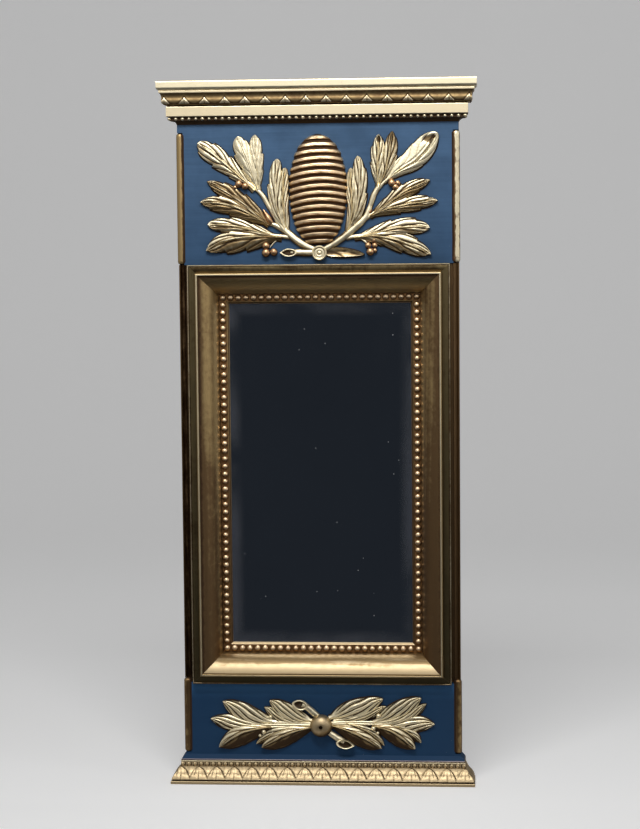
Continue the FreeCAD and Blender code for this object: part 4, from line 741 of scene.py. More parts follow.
LAUREL_LEAVES = {
    "left": [
        dict(line=[(-74, 763), (-76, 790), (-78, 812), (-78.5, 832)], halves=(9, 8.5), tone=-0.6, blunt=0.6,
             veins=3.4, pleat=0.35, rib=-0.7, lift=2.4),
        dict(line=[(-76, 763), (-84, 787), (-92, 808), (-100.5, 830)], halves=(12, 10), tone=-0.6, blunt=0.55,
             veins=3.4, pleat=0.35, rib=-0.8, lift=3.6),
        dict(line=[(-80, 762), (-100, 781), (-125, 803), (-151.5, 822.5)], halves=(12.5, 12), tone=0.2,
             blunt=0.55, veins=3.6, root=1.2),
        dict(line=[(-60, 719), (-84, 738), (-110, 757), (-140, 774)], halves=(9, 10.5), tone=1.05),
        dict(line=[(-62, 718), (-84, 732), (-105, 742), (-125, 746.5), (-149, 748)], halves=(12, 11), tone=0.75,
             lift=3.4, rib=1.5),
        dict(line=[(-50, 703), (-75, 710), (-100, 716.5), (-120, 718.8), (-140, 719.5)], halves=(10, 9.5),
             tone=0.42, blunt=0.55),
        dict(line=[(-46, 703), (-75, 704), (-105, 702), (-125, 697), (-142.5, 686.5)], halves=(17.5, 10.5),
             tone=0.55, lift=3.4, rib=1.6, pleat=0.9),
        dict(line=[(-38.5, 711), (-43, 735), (-43.5, 760), (-40.5, 790)], halves=(7, 6.5), tone=0.15,
             tooth=0.16, blunt=0.45, root=0.55, lift=3.4),
        dict(line=[(-40, 708), (-50, 735), (-53, 760), (-52, 780), (-50.5, 801.5)], halves=(9.5, 9), tone=0.2,
             lift=4.2, blunt=0.45, rib=0.8, root=0.6),
    ],
    "right": [
        dict(line=[(76, 765), (76, 785), (77, 808), (78, 831)], halves=(9, 9), tone=0.3,
             pits=[(0.90, 0.0, 0.06, 0.5, 1.8)]),
        dict(line=[(78, 765), (86, 785), (91, 808), (95, 834.5)], halves=(8, 9.5), tone=0.5, lift=3.0,
             tip_tone=1.0, tooth=0.14),
        dict(line=[(84, 771), (104, 785.5), (122, 795.5), (136, 809), (151.5, 832)], halves=(17, 9.5),
             tone=-0.1, pleat=0.35, rib=-1.5, tooth=0.05, lift=3.0, crown=2.0, blunt=0.6,
             pits=[(0.86, 0.42, 0.07, 0.36, 1.4), (0.93, 0.1, 0.03, 0.3, 1.0)]),
        dict(line=[(66, 729), (88, 743), (110, 759), (142, 773)], halves=(9.5, 8.5), tone=0.68),
        dict(line=[(66, 728), (88, 737), (110, 742), (130, 745), (151.5, 747)], halves=(9.5, 9), tone=0.5,
             lift=3.4, rib=1.4),
        dict(line=[(46, 701), (70, 706.5), (95, 712.5), (118, 714.8), (141.5, 713)], halves=(11, 10), tone=0.35,
             blunt=0.6),
        dict(line=[(48, 702), (75, 703), (100, 698), (122, 689.5), (143, 679.5)], halves=(11.5, 12.5),
             tone=0.35, lift=3.4, rib=1.6),
        dict(line=[(36, 706), (43, 730), (43, 755), (42, 775), (42.5, 789)], halves=(6, 7), tone=0.3,
             tooth=0.16, blunt=0.45, root=0.55, lift=3.4),
        dict(line=[(36, 706), (49, 735), (53, 760), (53.5, 780), (51, 804)], halves=(9, 9.5), tone=0.4,
             lift=4.2, blunt=0.48, rib=0.8, root=0.6),
        dict(line=[(9, 683.5), (25, 684.3), (42, 683), (59, 680.3)], halves=(4.2, 6.0), tone=0.2, tooth=0.0,
             veins=1.2, pleat=0.2, crown=-2.2, rib=-0.3, lift=4.0, root=0.4),
    ],
}
# Height above the panel's foot and share of the egg's half width, from its foot to its crown
EGG_OUTLINE = [(23.7, 0.0), (24.2, 0.22), (27.5, 0.42), (32.5, 0.56), (41.5, 0.74), (51.5, 0.84), (61.5, 0.915),
               (71.5, 0.965), (82.0, 0.995), (92.0, 1.0), (102.0, 1.0), (111.5, 0.985), (121.5, 0.94),
               (131.5, 0.865), (141.5, 0.77), (151.5, 0.60), (156.5, 0.46), (160.5, 0.30), (163.2, 0.12),
               (163.6, 0.0)]

LAUREL_STEMS = {
    "left": [
        [(-5, 687, 4.2, 0.8), (-18, 693, 4.9, 1.0), (-32, 703, 5.0, 1.2), (-43, 713, 4.6, 1.0),
         (-54, 729, 3.8, 0.8), (-63, 744, 3.4, 0.6), (-70, 756, 3.4, 0.6), (-78, 764, 3.0, 0.6),
         (-92, 775, 2.4, 0.8), (-106, 786, 1.6, 1.8)],
        [(-40, 709, 3.6, 1.0), (-52, 717, 3.4, 1.2), (-64, 722, 2.8, 1.2), (-80, 732, 2.0, 2.0)],
        [(-32, 702, 3.2, 1.0), (-46, 704, 3.0, 1.2), (-62, 706, 2.4, 1.6), (-78, 708, 1.4, 2.4)],
        [(-36, 706, 3.0, 1.2), (-42, 722, 2.4, 1.4), (-45, 738, 1.4, 2.0)],
        [(-48, 702, 0.9, 1.0), (-56, 696, 0.8, 1.2), (-61, 690, 0.8, 1.8)],
        [(-86, 771, 1.2, 1.0), (-92, 771, 1.1, 1.4), (-97, 771, 0.9, 1.8)],
        [(-4, 683.5, 4.6, 0.4), (-16, 683, 4.8, 0.6), (-28, 683, 4.7, 0.4), (-38, 683, 4.0, -0.8)],
    ],
    "right": [
        [(8, 687, 4.0, 0.8), (22, 695, 4.4, 1.0), (36, 705, 4.9, 1.2), (50, 717, 4.9, 1.2), (60, 727, 4.4, 1.0),
         (66, 740, 3.6, 0.8), (70, 752, 3.8, 0.8), (76, 763, 3.6, 0.8), (88, 774, 2.4, 1.0),
         (104, 785, 1.4, 1.8)],
        [(56, 722, 3.4, 1.0), (68, 730, 2.8, 1.2), (84, 739, 1.8, 2.0)],
        [(36, 701, 3.2, 1.0), (52, 703.5, 3.0, 1.2), (70, 704, 2.2, 1.6), (86, 704, 1.2, 2.4)],
        [(36, 704, 3.0, 1.2), (44, 722, 2.4, 1.4), (47, 738, 1.4, 2.0)],
        [(48, 701, 1.0, 1.0), (56, 699, 1.4, 1.4), (62, 694, 1.4, 1.6), (64, 688, 1.0, 1.6)],
        [(84, 772, 1.2, 1.0), (90, 774, 1.4, 1.4), (96, 776, 1.0, 1.2)],
    ],
}
# A bud is a short swelling laid on the branch
LAUREL_BUDS = {
    "left": [(-69, 738, 0.5, 1.6), (-65, 731, 3.0, 1.8), (-61, 724, 4.2, 1.4), (-58, 719, 3.0, 1.0),
             (-57, 716, 0.4, 0.8)],
    "right": [(63, 731, 0.5, 1.6), (65, 733, 2.2, 2.4), (67, 735, 1.8, 2.4), (69, 737, 0.4, 1.6)],
}
LAUREL_BERRIES = {
    "left": [(-99.5, 770.3, 4.4), (-91.6, 767.6, 4.2), (-104.5, 766, 2.8), (-66, 692, 4.5), (-66, 683.2, 5.0),
             (-56, 684, 4.5)],
    "right": [(94, 769.5, 4.4), (101.5, 769.3, 3.2), (98.5, 764.3, 3.9), (71.5, 698, 3.2), (72, 691.3, 3.4),
              (66.3, 683.4, 4.6), (63.6, 691.5, 3.8), (72, 685, 2.8)],
}
# Beside the boss the upper leaves have pleats that sweep from edge to edge, the lower ones a strong midrib and a
# strong painted shade on the half that faces down
SWEPT_LEFT = dict(veins=2.9, lean=0.62, tooth=0.03, blunt=0.8, rib=0.2, pleat=1.7, swept=-1)
SWEPT_RIGHT = dict(SWEPT_LEFT, swept=1)
NARROW = dict(rib=1.6, tooth=0.04, shade=1.5)
BROAD = dict(rib=1.8, tooth=0.04, shade=1.5, pleat=0.45)
SWAG_LEAVES = {
    "left": [
        dict(line=[(-70, 77), (-100, 76.5), (-120, 78.5), (-145, 83)], halves=(9.5, 9.5), tone=0.45, lift=2.0,
             **SWEPT_LEFT),
        dict(line=[(-60, 79), (-85, 86), (-105, 94.5), (-128.5, 106)], halves=(12, 9.5), tone=0.3, lift=3.6,
             **SWEPT_LEFT),
        dict(line=[(-66, 73), (-90, 70), (-110, 63.5), (-134.5, 46)], halves=(15, 8.5), tone=0.85, lift=2.8,
             crown=5.2, **BROAD),
        dict(line=[(-14, 78.5), (-40, 82), (-58, 88), (-75, 98.5)], halves=(7, 8), tone=0.4, lift=1.8,
             **SWEPT_LEFT),
        dict(line=[(-12, 81), (-32, 87.5), (-50, 96), (-68, 107.5)], halves=(9.5, 9.5), tone=0.22, lift=4.2,
             **SWEPT_LEFT),
        dict(line=[(-14, 76), (-45, 70), (-65, 63), (-86, 50.5)], halves=(8, 7), tone=0.6, lift=1.8, **NARROW),
        dict(line=[(-12, 73), (-35, 68.5), (-55, 60.5), (-79, 46)], halves=(13.5, 8), tone=0.9, lift=3.4,
             crown=5.2, **BROAD),
    ],
    "right": [
        dict(line=[(70, 77), (98, 78.5), (120, 79), (144.5, 78)], halves=(10, 11), tone=0.45, lift=2.0,
             **SWEPT_RIGHT),
        dict(line=[(62, 79.5), (90, 81.5), (112, 89), (134, 104.5)], halves=(7, 6.5), tone=0.35, lift=2.2,
             **SWEPT_RIGHT),
        dict(line=[(66, 80), (90, 93), (108, 101.5), (127.5, 112)], halves=(9.5, 9.5), tone=0.3, lift=4.2,
             **SWEPT_RIGHT),
        dict(line=[(14, 82), (40, 85), (62, 91), (82.5, 100.5)], halves=(7, 5.5), tone=0.35, lift=2.0,
             **SWEPT_RIGHT),
        dict(line=[(9, 85), (30, 94.5), (54, 101), (78.5, 110.5)], halves=(10.5, 11), tone=0.28, lift=4.4,
             root=0.9, **SWEPT_RIGHT),
        dict(line=[(30, 79), (50, 72.5), (66, 63), (79.5, 49.5)], halves=(5, 6), tone=0.6, lift=2.0, **NARROW),
        dict(line=[(12, 76), (36, 69), (56, 59.5), (76.5, 46)], halves=(7, 13), tone=0.9, lift=3.2, crown=5.4,
             **BROAD),
        dict(line=[(88, 77), (106, 70), (118, 62), (127, 53.5)], halves=(6, 5), tone=0.6, lift=2.0, **NARROW),
        dict(line=[(64, 76), (88, 70), (104, 60), (119.5, 45.5)], halves=(8, 13), tone=0.9, lift=3.2, crown=5.4,
             **BROAD),
    ],
}
SWAG_STEMS = {
    "left": [
        [(-8, 77, 2.4, 1.6), (-40, 78.4, 1.7, 2.4), (-72, 78.6, 1.4, 2.6), (-88, 79, 1.0, 2.6)],
        [(-10, 75, 2.0, 2.2), (-50, 75.8, 1.5, 2.6), (-88, 75, 1.2, 2.6), (-104, 75.5, 0.8, 2.8)],
        [(-10, 73, 1.8, 1.8), (-46, 73, 1.4, 2.2), (-80, 72, 1.3, 2.6), (-112, 71, 0.9, 2.8)],
        [(-3, 84, 3.8, 1.0), (-12, 92, 4.2, 2.0), (-20, 99, 4.4, 2.6), (-26, 102, 4.0, 2.0)],
    ],
    "right": [
        [(8, 78, 2.4, 1.6), (36, 80, 1.7, 2.4), (66, 80, 1.5, 2.6), (92, 80, 1.3, 2.8), (110, 83, 0.8, 3.2)],
        [(10, 76.5, 2.0, 2.0), (40, 77.5, 1.4, 2.4), (70, 77, 1.3, 2.6), (100, 78, 0.9, 2.8)],
        [(10, 74.5, 1.8, 1.8), (34, 75, 1.4, 2.2), (62, 71, 1.1, 2.6)],
        [(6, 68, 3.8, 1.0), (14, 62, 4.2, 1.8), (22, 57, 4.4, 2.0), (28, 54, 4.0, 1.4)],
    ],
}
SWAG_BERRIES = {
    "left": [(-67, 86, 2.7), (-76, 66.5, 3.0), (-81, 61.5, 2.2)],
    "right": [(72.5, 88.6, 3.4), (66, 72.4, 3.4), (71.5, 66, 2.4)],
}


# Sizes and colours that a user may change

def length(name, description, default, least):
    """Setting in millimetres."""
    return bpy.props.FloatProperty(name=name, description=description + ", mm", default=default, min=least)


def tint(name, description, *default):
    """Setting of a linear colour."""
    return bpy.props.FloatVectorProperty(name=name, description=description, subtype="COLOR", min=0, max=1,
                                         default=default)


class MirrorSizes(bpy.types.PropertyGroup):
    """Sizes of the carving, in millimetres."""

    pearl_radius: length("Pearl radius", "Pearls round the plate", 4.45, 1)
    pearl_pitch: length("Pearl pitch", "Aimed spacing of those pearls", 9.9, 2)
    small_pearl_pitch: length("Cornice pearl pitch", "Small pearls under the cornice band", 8.4, 2)
    foot_pearl_pitch: length("Foot pearl pitch", "Small pearls above the foot leaves", 7.9, 2)
    scallop_pitch: length("Scallop pitch", "Hanging scallops of the cornice", 25.6, 5)
    foot_leaf_pitch: length("Foot leaf pitch", "Upright leaves of the foot", 23.0, 5)
    rib_pitch: length("Egg rib pitch", "Ribs of the egg", 8.7, 2)
    rib_depth: length("Egg groove depth", "Grooves between the ribs", 3.4, 0.2)
    rib_bow: length("Egg rib bow", "How far the ribs' ends hang under their middles", 5.2, 0)
    leaf_relief: bpy.props.FloatProperty(
        name="Leaf relief", description="Depth of the leaf carving", default=1.0, min=0.1, max=2,
        subtype="FACTOR")


class MirrorColours(bpy.types.PropertyGroup):
    """Colours of the finishes, linear."""

    leaf: tint("Gold leaf", "Rubbed bright leaf", 0.86, 0.73, 0.49)
    pale: tint("Pale leaf", "Leaf bleached and rubbed pale on the carving", 0.93, 0.82, 0.57)
    faded: tint("Faded leaf", "Even, dulled leaf of the foot and the bottom rail", 0.49, 0.375, 0.22)
    toned: tint("Toned leaf", "Darkened leaf", 0.28, 0.195, 0.095)
    warm: tint("Warm leaf", "Pinkish leaf of the egg's ribs", 0.90, 0.67, 0.42)
    red_toned: tint("Reddish toned leaf", "Reddish darkened leaf of the egg", 0.36, 0.195, 0.08)
    old: tint("Old leaf", "Dulled leaf of the cove", 0.45, 0.315, 0.145)
    bronze: tint("Bronze", "Brown toned leaf of the strips and rods", 0.19, 0.115, 0.055)
    olive: tint("Olive", "Olive toned leaf of the slips", 0.20, 0.15, 0.072)
    grey: tint("Grey leaf", "Leaf rubbed to a purplish grey on the foot's fillet", 0.33, 0.29, 0.31)
    copper: tint("Copper", "Reddish berries", 0.56, 0.34, 0.18)
    bole: tint("Bole", "Red-brown ground under the leaf", 0.19, 0.075, 0.035)
    # Grime in the hollows, and also the colour of the painted shade and painted shadow rims of the carving
    grime_and_shade: tint("Grime_and_shade", "Old dirt in the hollows", 0.034, 0.016, 0.007)
    blue: tint("Blue", "Distemper of the panels", 0.058, 0.117, 0.212)
    pine: tint("Pine", "Bare wood of the back", 0.33, 0.19, 0.09)
    silver: tint("Silvering", "Dulled silvering of the plate", 0.62, 0.64, 0.66)
    iron: tint("Iron", "Forged hanger and nails", 0.085, 0.08, 0.075)


class MirrorStage(bpy.types.PropertyGroup):
    """Floor, lamps and camera."""

    floor_grey: bpy.props.FloatProperty(
        name="Floor", description="Grey of the floor and backdrop", default=0.8, min=0, max=1)
    world_grey: bpy.props.FloatProperty(
        name="Surroundings", description="Grey light from all round", default=0.09, min=0)
    paper_glow: bpy.props.FloatProperty(
        name="Backdrop", description="Grey that the backdrop shows to the camera and in gloss", default=0.5,
        min=0, max=1)
    key_power: bpy.props.FloatProperty(
        name="Key lamp", description="Large lamp above the front, W", default=17.0, min=0, unit="POWER")
    camera_place: bpy.props.FloatVectorProperty(
        name="Camera place", description="Viewpoint, m", subtype="TRANSLATION", unit="LENGTH",
        default=(0.209627, -2.716153, 0.706723))
    camera_yaw: bpy.props.FloatProperty(
        name="Yaw", description="Camera turned to its left", subtype="ANGLE", default=0.07697313)
    camera_pitch: bpy.props.FloatProperty(
        name="Pitch", description="Camera tipped down", subtype="ANGLE", default=-0.08417799)
    camera_roll: bpy.props.FloatProperty(
        name="Roll", description="Camera rolled", subtype="ANGLE", default=0.00935711)
    camera_lens: bpy.props.FloatProperty(
        name="Lens", description="Focal length on a 36 mm sensor, mm", default=93.031)


# Operators

class MIRROR_OT_panels(bpy.types.Operator):
    """Paint the two panels"""

    bl_idname = "mirror.panels"
    bl_label = "Painted panels"

    def execute(self, context):
        finish_nodes(["upper_panel", "lower_panel"], "blue_distemper")
        return {"FINISHED"}


class MIRROR_OT_carcass(bpy.types.Operator):
    """Give the carcass, back boards and nails their wood and iron"""

    bl_idname = "mirror.carcass"
    bl_label = "Carcass and back"

    def execute(self, context):
        finish_nodes(["stile_left", "stile_right", "top_rail", "upper_rail", "lower_rail", "bottom_rail",
                      "back_board_lower", "back_board_middle", "back_board_upper"], "old_pine")
        finish_nodes(["back_nails", "hanger_plate", "hanger_nails"], "forged_iron")
        return {"FINISHED"}


class MIRROR_OT_plate(bpy.types.Operator):
    """Silver the plate"""

    bl_idname = "mirror.plate"
    bl_label = "Silvered plate"

    def execute(self, context):
        finish_nodes(["mirror_plate"], "silvered_glass")
        return {"FINISHED"}


class MIRROR_OT_frame_rails(bpy.types.Operator):
    """Build the frame's rails: bright fillet, step, deep cove, bed of the pearls, lip and rebate"""

    bl_idname = "mirror.frame_rails"
    bl_label = "Frame rails"

    def execute(self, context):
        profile = traced([
            (10.6, 29.0), (10.6, 1.1), (11.1, 0.3), (11.8, 0.0), (13.0, 0.05), (13.5, 0.5), (13.6, 1.7, 30.0, -1),
            (37.4, 29.9), (37.6, 32.2), (47.0, 32.2), (47.1, 31.4), (47.5, 31.2), (47.9, 31.5), (50.0, 33.6),
            (50.0, 34.5), (44.0, 34.5), (44.0, 38.0), (18.8, 38.0), (18.8, 29.0)], 0.7)
        # Tone of each rail, and how dark it is under its fillet and on its lip
        # For each rail: its tone, the painted shadow of its fillet on the cove, and the painted shade on its lip;
        # the bottom rail, which faces the light from above, has neither
        marks = {"top": (0.2, 0.5, 0.5), "right": (0.6, 0.3, 0.4), "bottom": (0.45, 0.0, 0.0),
                 "left": (0.35, 0.45, 0.4)}
        for count, side in enumerate(FRAME_TURNS):
            tone, under, lip = marks[side]
            points, relief, tone = mitred_rail(profile, side, 4, 5.0, count + 3, tone, 0.06)
            inset, depth = profile[:, 0], profile[:, 1]
            fillet = ((inset > 11.5) & (inset < 12.7) & (depth < 1.2)).astype(int)
            cove = (depth > 1.2) * (depth < 29.0) * (inset > 13.0) * (inset < 37.0)
            # Cove: lighter towards the pearls, less the painted shadow that the fillet casts just inside it
            hollow = 0.5 + 0.16 * smooth_step(31, 36, inset) - under * np.exp(-((inset - 13.6) / 5.0) ** 2)
            relief = np.where(cove, hollow, relief - lip * (inset > 46.9))
            # Painted light: the bottom cove painted brighter where it faces up to the light, toned darker outside
            # that
            if side == "bottom":
                lit = smooth_step(30, 22, inset) * smooth_step(14.4, 15.2, inset)
                relief = np.where(cove, 0.3 + 0.42 * lit - 0.3 * (inset < 14.6), relief)
                fillet = np.where((cove & (inset > 14.4)) | (inset > 46.9), 2, fillet)
                tone = tone + 0.4 * cove * (1 - lit)
                tone = tone + 0.9 * cove * ripple(count + 90, inset, depth, points[..., 0] * 0.06, scale=6)
            # Painted shade: the side rails toned darker lower down, as light from above falls off
            if side in SIDE_SIGNS:
                tone = tone + 0.6 * smooth_step(560, 260, points[..., 2])
            mottle = ripple(count + 80, points[..., 0] + points[..., 2], scale=26)
            tone = tone + (fillet == 1) * (1.2 * mottle + 0.1)
            Shell().grid(points, relief, tone, slot=fillet[None, :]).build(
                "rail_" + side, "mirror", "gilt", ["old_gilt", "pale_gilt", "faded_gilt"], ["frame_" + side])
        return {"FINISHED"}


class MIRROR_OT_frame_bands(bpy.types.Operator):
    """Build the dark slips outside the bright fillet"""

    bl_idname = "mirror.frame_bands"
    bl_label = "Frame slips"

    def execute(self, context):
        profile = traced([(0.0, 29.0), (0.0, 7.4), (0.4, 6.9), (1.1, 6.9), (1.5, 7.3), (1.7, 8.3, 30.0, -1),
                          (9.6, 8.3), (9.9, 8.9), (10.5, 8.9), (10.5, 29.0)], 0.55)
        #         For each slip: the tone of its flat and of its arris, set side by side as painted light and
        #             shade; the top arris is a painted highlight and the bottom one painted dark
        tones = {"top": (0.7, 0.0), "right": (0.35, 0.8), "bottom": (-0.5, 1.0), "left": (0.45, 0.7)}
        for count, side in enumerate(FRAME_TURNS):
            flat, edge = tones[side]
            points, relief, tone = mitred_rail(profile, side, 2, 6.0, count + 13, flat, 0.10)
            arris = ((profile[:, 0] < 1.45) & (profile[:, 1] < 7.35)).astype(int)
            tone = tone + (edge - flat) * arris
            Shell().grid(points, relief, tone, slot=arris[None, :]).build(
                "slip_" + side, "mirror", "dark_gilt", ["olive_gilt", "worn_gilt"], ["frame_band_" + side])
        return {"FINISHED"}


class MIRROR_OT_pearls(bpy.types.Operator):
    """Build the four strips of pearls round the plate"""

    bl_idname = "mirror.pearls"
    bl_label = "Pearl rows"

    def execute(self, context):
        sizes = context.scene.mirror_sizes
        line, bed, high_pearl = 42.35, 31.2, 4.4
        strip = traced([(37.75, 32.2), (37.75, 31.1), (46.85, 31.1), (46.85, 32.2)], 1.5)
        rng = np.random.default_rng(5)
        for side, degrees in FRAME_TURNS.items():
            level, long, high = frame_side(side)
            shell = Shell().grid(mitred_rail(strip, side, 1, 12.0)[0], 0.24, 0.9)
            spaces = round(2 * (long - line) / sizes.pearl_pitch)
            pitch = 2 * (long - line) / spaces
            first, last = (0, spaces) if level else (1, spaces - 1)
            for count in range(first, last + 1):
                along = line - long + pitch * count + rng.normal(0, 0.12)
                across = high - line + rng.normal(0, 0.08)
                x, z = turned(0, FRAME_MIDDLE, -math.radians(degrees), along, across)
                radius = sizes.pearl_radius * rng.uniform(0.94, 1.03)
                grid, mark = dome_grid((x, FILLET_FRONT + bed, z), radius, high_pearl * rng.uniform(0.93, 1.04),
                                       rng.uniform(0.94, 1.0), rng.uniform(0, 3))
                # Painted highlight: a bright spot on the upper part of each pearl, with painted shade on its lower
                # side
                shell.grid(grid, 0.08 + 0.3 * mark + 0.62 * smooth_step(0.8, 1.0, mark), rng.uniform(0.3, 0.6))
            shell.build("pearls_" + side, "mirror", "gilt", ["pearl_gilt"], ["pearl_row_" + side], 60)
        return {"FINISHED"}


class MIRROR_OT_rods(bpy.types.Operator):
    """Build the round corner rods and the moulded strips beside the frame"""

    bl_idname = "mirror.rods"
    bl_label = "Rods and edge strips"

    def execute(self, context):
        radius, proud, flank = 4.6, 1.5, 6.0
        tones = {("upper", 1): 0.2, ("upper", -1): -0.4, ("lower", 1): 0.65, ("lower", -1): 1.1}
        for side, sign in SIDE_SIGNS.items():
            for part in ("upper", "lower"):
                low, high = node_box("%s_rod_%s" % (part, side))
                middle_x, middle_y = (HALF_BODY - (radius - proud)) * sign, FACE + radius - proud
                level = np.linspace(low[2], high[2], 90)[:, None]
                end = np.minimum(level - low[2], high[2] - level)
                round_end = np.sqrt(1 - np.clip(1 - end / (radius * 0.8), 0, 1) ** 2)
                turn = whole_turn(48)
                wander = ripple(7 + sign, level, turn * 4, scale=60) * 0.10
                reach = np.maximum((radius + wander) * round_end, 0.05)
                x = reach * np.cos(turn)
                x = np.maximum(np.where(x < 0, x * 1.6, x), -flank) * sign
                y = np.minimum(reach * np.sin(turn), radius - 0.6)
                mottle = ripple(51 + sign, level, turn * 5, scale=13)
                # Painted shade on the rod: darker on both flanks, and more toned on the flank towards the panel,
                # as a round rod looks under light
                painted_flank_shade = 0.6 * smooth_step(0.05, 0.6, -np.cos(turn)) + 0.4 * smooth_step(0.72, 1.0, np.cos(turn))
                tone = tones[part, sign] + 0.6 * mottle + 0.9 * smooth_step(-0.1, 0.5, -np.cos(turn))
                leaf = "mottled_gilt" if (part, side) == ("upper", "right") else "old_gilt"
                Shell().grid(stacked(middle_x + x, middle_y + y, level), 0.56 + wander * 2 - painted_flank_shade, tone).build(
                    "rod_%s_%s" % (part, side), "mirror", "gilt", [leaf], ["%s_rod_%s" % (part, side)])
            low, high = node_box("edge_strip_" + side)
            outer = high[0] if sign > 0 else low[0]
            profile = traced([(11.5, 12.0), (11.5, 4.6), (7.6, 4.6), (7.6, 2.4, 3.6, -1), (1.9, 2.4), (1.6, 2.4),
                              (1.6, 0.9), (1.3, 0.6), (0.4, 0.6), (0.0, 1.0), (0.0, 12.0)], 0.45)
            level = np.linspace(low[2], high[2], 110)[:, None]
            normal = outward(profile)
            sway = ripple(31 + sign, level, profile[None, :, 0] * 5, scale=80) * 0.10
            x = outer - sign * (profile[None, :, 0] + normal[None, :, 0] * sway)
            y = FACE + profile[None, :, 1] + normal[None, :, 1] * sway
            mottle = ripple(37 + sign, level, profile[None, :, 0] * 8, scale=50)
            # Painted light: the right strip painted lighter and the left darker, as for a light from the right
            tone = (-0.5 if sign > 0 else 0.7) + 0.4 * mottle
            Shell().grid(stacked(x, y, level), standing_out(profile, normal, 3)[None, :], tone).build(
                "strip_" + side, "mirror", "dark_gilt", ["bronze_gilt"], ["edge_strip_" + side])
        return {"FINISHED"}


class MIRROR_OT_cornice(bpy.types.Operator):
    """Build the cornice: rounded board, fillet with hanging scallops and darts, plain band and small pearls"""

    bl_idname = "mirror.cornice"
    bl_label = "Cornice"

    def execute(self, context):
        sizes = context.scene.mirror_sizes
        high = BOARD_HIGH[2] - BOARD_LOW[2]
        over = BOARD_HIGH[0] - HALF_BODY
        board = traced([(0.0, 0.0), (over - 3.8, 0.0, 4.2, -1), (over, 3.6), (over, high - 1.8, 2.0, -1),
                        (over - 1.9, high), (0.0, high)], 0.6)
        leaf = traced([(0.0, 0.0), (15.3, 0.0, 9.0, -1), (17.35, 7.25, 9.0, 1), (19.4, 14.5), (19.9, 14.7),
                       (20.0, 15.1), (20.0, 17.3), (19.6, 17.7), (0.0, 17.7)], 0.42)
        band = traced([(0.0, 0.0, 7.4, 1), (8.4, 5.2), (8.4, 9.8), (11.7, 9.8), (12.1, 10.2), (12.1, 22.1),
                       (11.7, 22.5), (10.6, 22.5), (10.6, 24.5), (0.0, 24.5)], 0.7)
        pitch = sizes.scallop_pitch

        def scallops(along, out, up, relief):
            """Incised scallops along arc(x) = 1.2 + 9.8 * |2x| ** 2.2, x the share of a pitch, and split darts.

            A dart between two scallops is a triangle, 7 to each side and 8 high.
            """
            place = (along / pitch + 0.5) % 1.0 - 0.5
            front = smooth_step(14.2, 15.0, out) * (up < 14.3)
            arc = 1.2 + 9.8 * (2 * np.abs(place)) ** 2.2
            line = np.exp(-((up - arc) / 0.5) ** 2)
            inside = smooth_step(-0.5, 0.9, up - arc)
            glow = inside * np.exp(-((up - arc - 2.2) / 2.0) ** 2)
            spread = np.abs(np.abs(place) - 0.5) * pitch
            inner = 1 - spread / 7.0 - (up - 1.3) / 8.0
            dart = smooth_step(0.0, 0.06, inner)
            rim = np.exp(-((inner + 0.02) / 0.06) ** 2)
            slit = np.exp(-((spread - 0.18 * up) / 0.4) ** 2) * dart
            quirk = up < 1.3
            raised = front * np.where(quirk, -0.8, -0.4 + 0.1 * inside - 0.2 * line * (1 - dart) + 0.4 * dart
                                      - 0.3 * rim - 0.3 * slit)
            carved = (0.34 + 0.06 * inside + 0.14 * glow - 0.2 * line * (1 - dart) + 0.5 * dart
                      - 0.5 * rim - 0.4 * slit)
            mark = np.where(front > 0.5, np.where(quirk, 0.0, np.clip(carved, 0, 1)), relief)
            return raised, mark

        line, pearl_level, pearl_radius = 8.6, 7.2, 2.35
        turn, lift = whole_turn(12), np.linspace(-math.pi / 2, math.pi / 2, 8)[:, None]
        for side in RUNS:
            points, relief = cornice_run(leaf, side, CYMA_FOOT, 0.75, scallops)
            up = leaf[None, :, 1]
            slots = np.maximum(up > 14.4, (relief[:-1] > 0.66) & (up > 0.9) & (up < 9)).astype(int)
            Shell().grid(points, relief, 0.5, slot=slots).build(
                "scallops_" + side, "mirror", "gilt", ["old_gilt", "bright_gilt"], ["cornice_leaf_" + side], 50)
            points, relief = cornice_run(band, side, BAND_FOOT, 4.0)
            up = band[None, :, 1]
            piece = Shell().grid(points, np.where((up < 9.9) | (up > 22.6), 0.02, relief), 0.3)
            rng = np.random.default_rng(11)
            if side == "front":
                half = HALF_BODY + line
                count = round(2 * half / sizes.small_pearl_pitch)
                places = [((t / count * 2 - 1) * half, FACE - line) for t in range(count + 1)]
            else:
                sign = SIDE_SIGNS[side]
                count = round((BACK - FACE + line) / sizes.small_pearl_pitch)
                places = [((HALF_BODY + line) * sign, FACE - line + (BACK - FACE + line) * t / count)
                          for t in range(1, count)]
            for x, y in places:
                radius = pearl_radius * rng.uniform(0.9, 1.08)
                grid = stacked(x + radius * np.cos(lift) * np.cos(turn), y + radius * np.cos(lift) * np.sin(turn),
                               BAND_FOOT + pearl_level + radius * 0.9 * np.sin(lift))
                # Painted shade: each small pearl lighter on top and darker underneath
                piece.grid(grid, 0.35 + 0.65 * np.clip(np.sin(lift) + 0.8, 0, 1), 0.2)
            piece.build("band_" + side, "mirror", "gilt", ["bright_gilt"], ["cornice_band_" + side], 45)
        shell = Shell()
        for side in RUNS:
            points, relief = cornice_run(board, side, BOARD_LOW[2], 5.0)
            # Painted shade: the board toned darker on its lower rounding, which faces down
            shell.grid(points, relief, -0.2 + 1.5 * smooth_step(4.6, 2.6, board[None, :, 1]))
        shell.grid(body_slab(BOARD_LOW[2], BOARD_HIGH[2], 60), 0.5, 0.2)
        shell.build("cornice_top", "mirror", "gilt", ["pale_gilt"], ["cornice_board"])
        return {"FINISHED"}


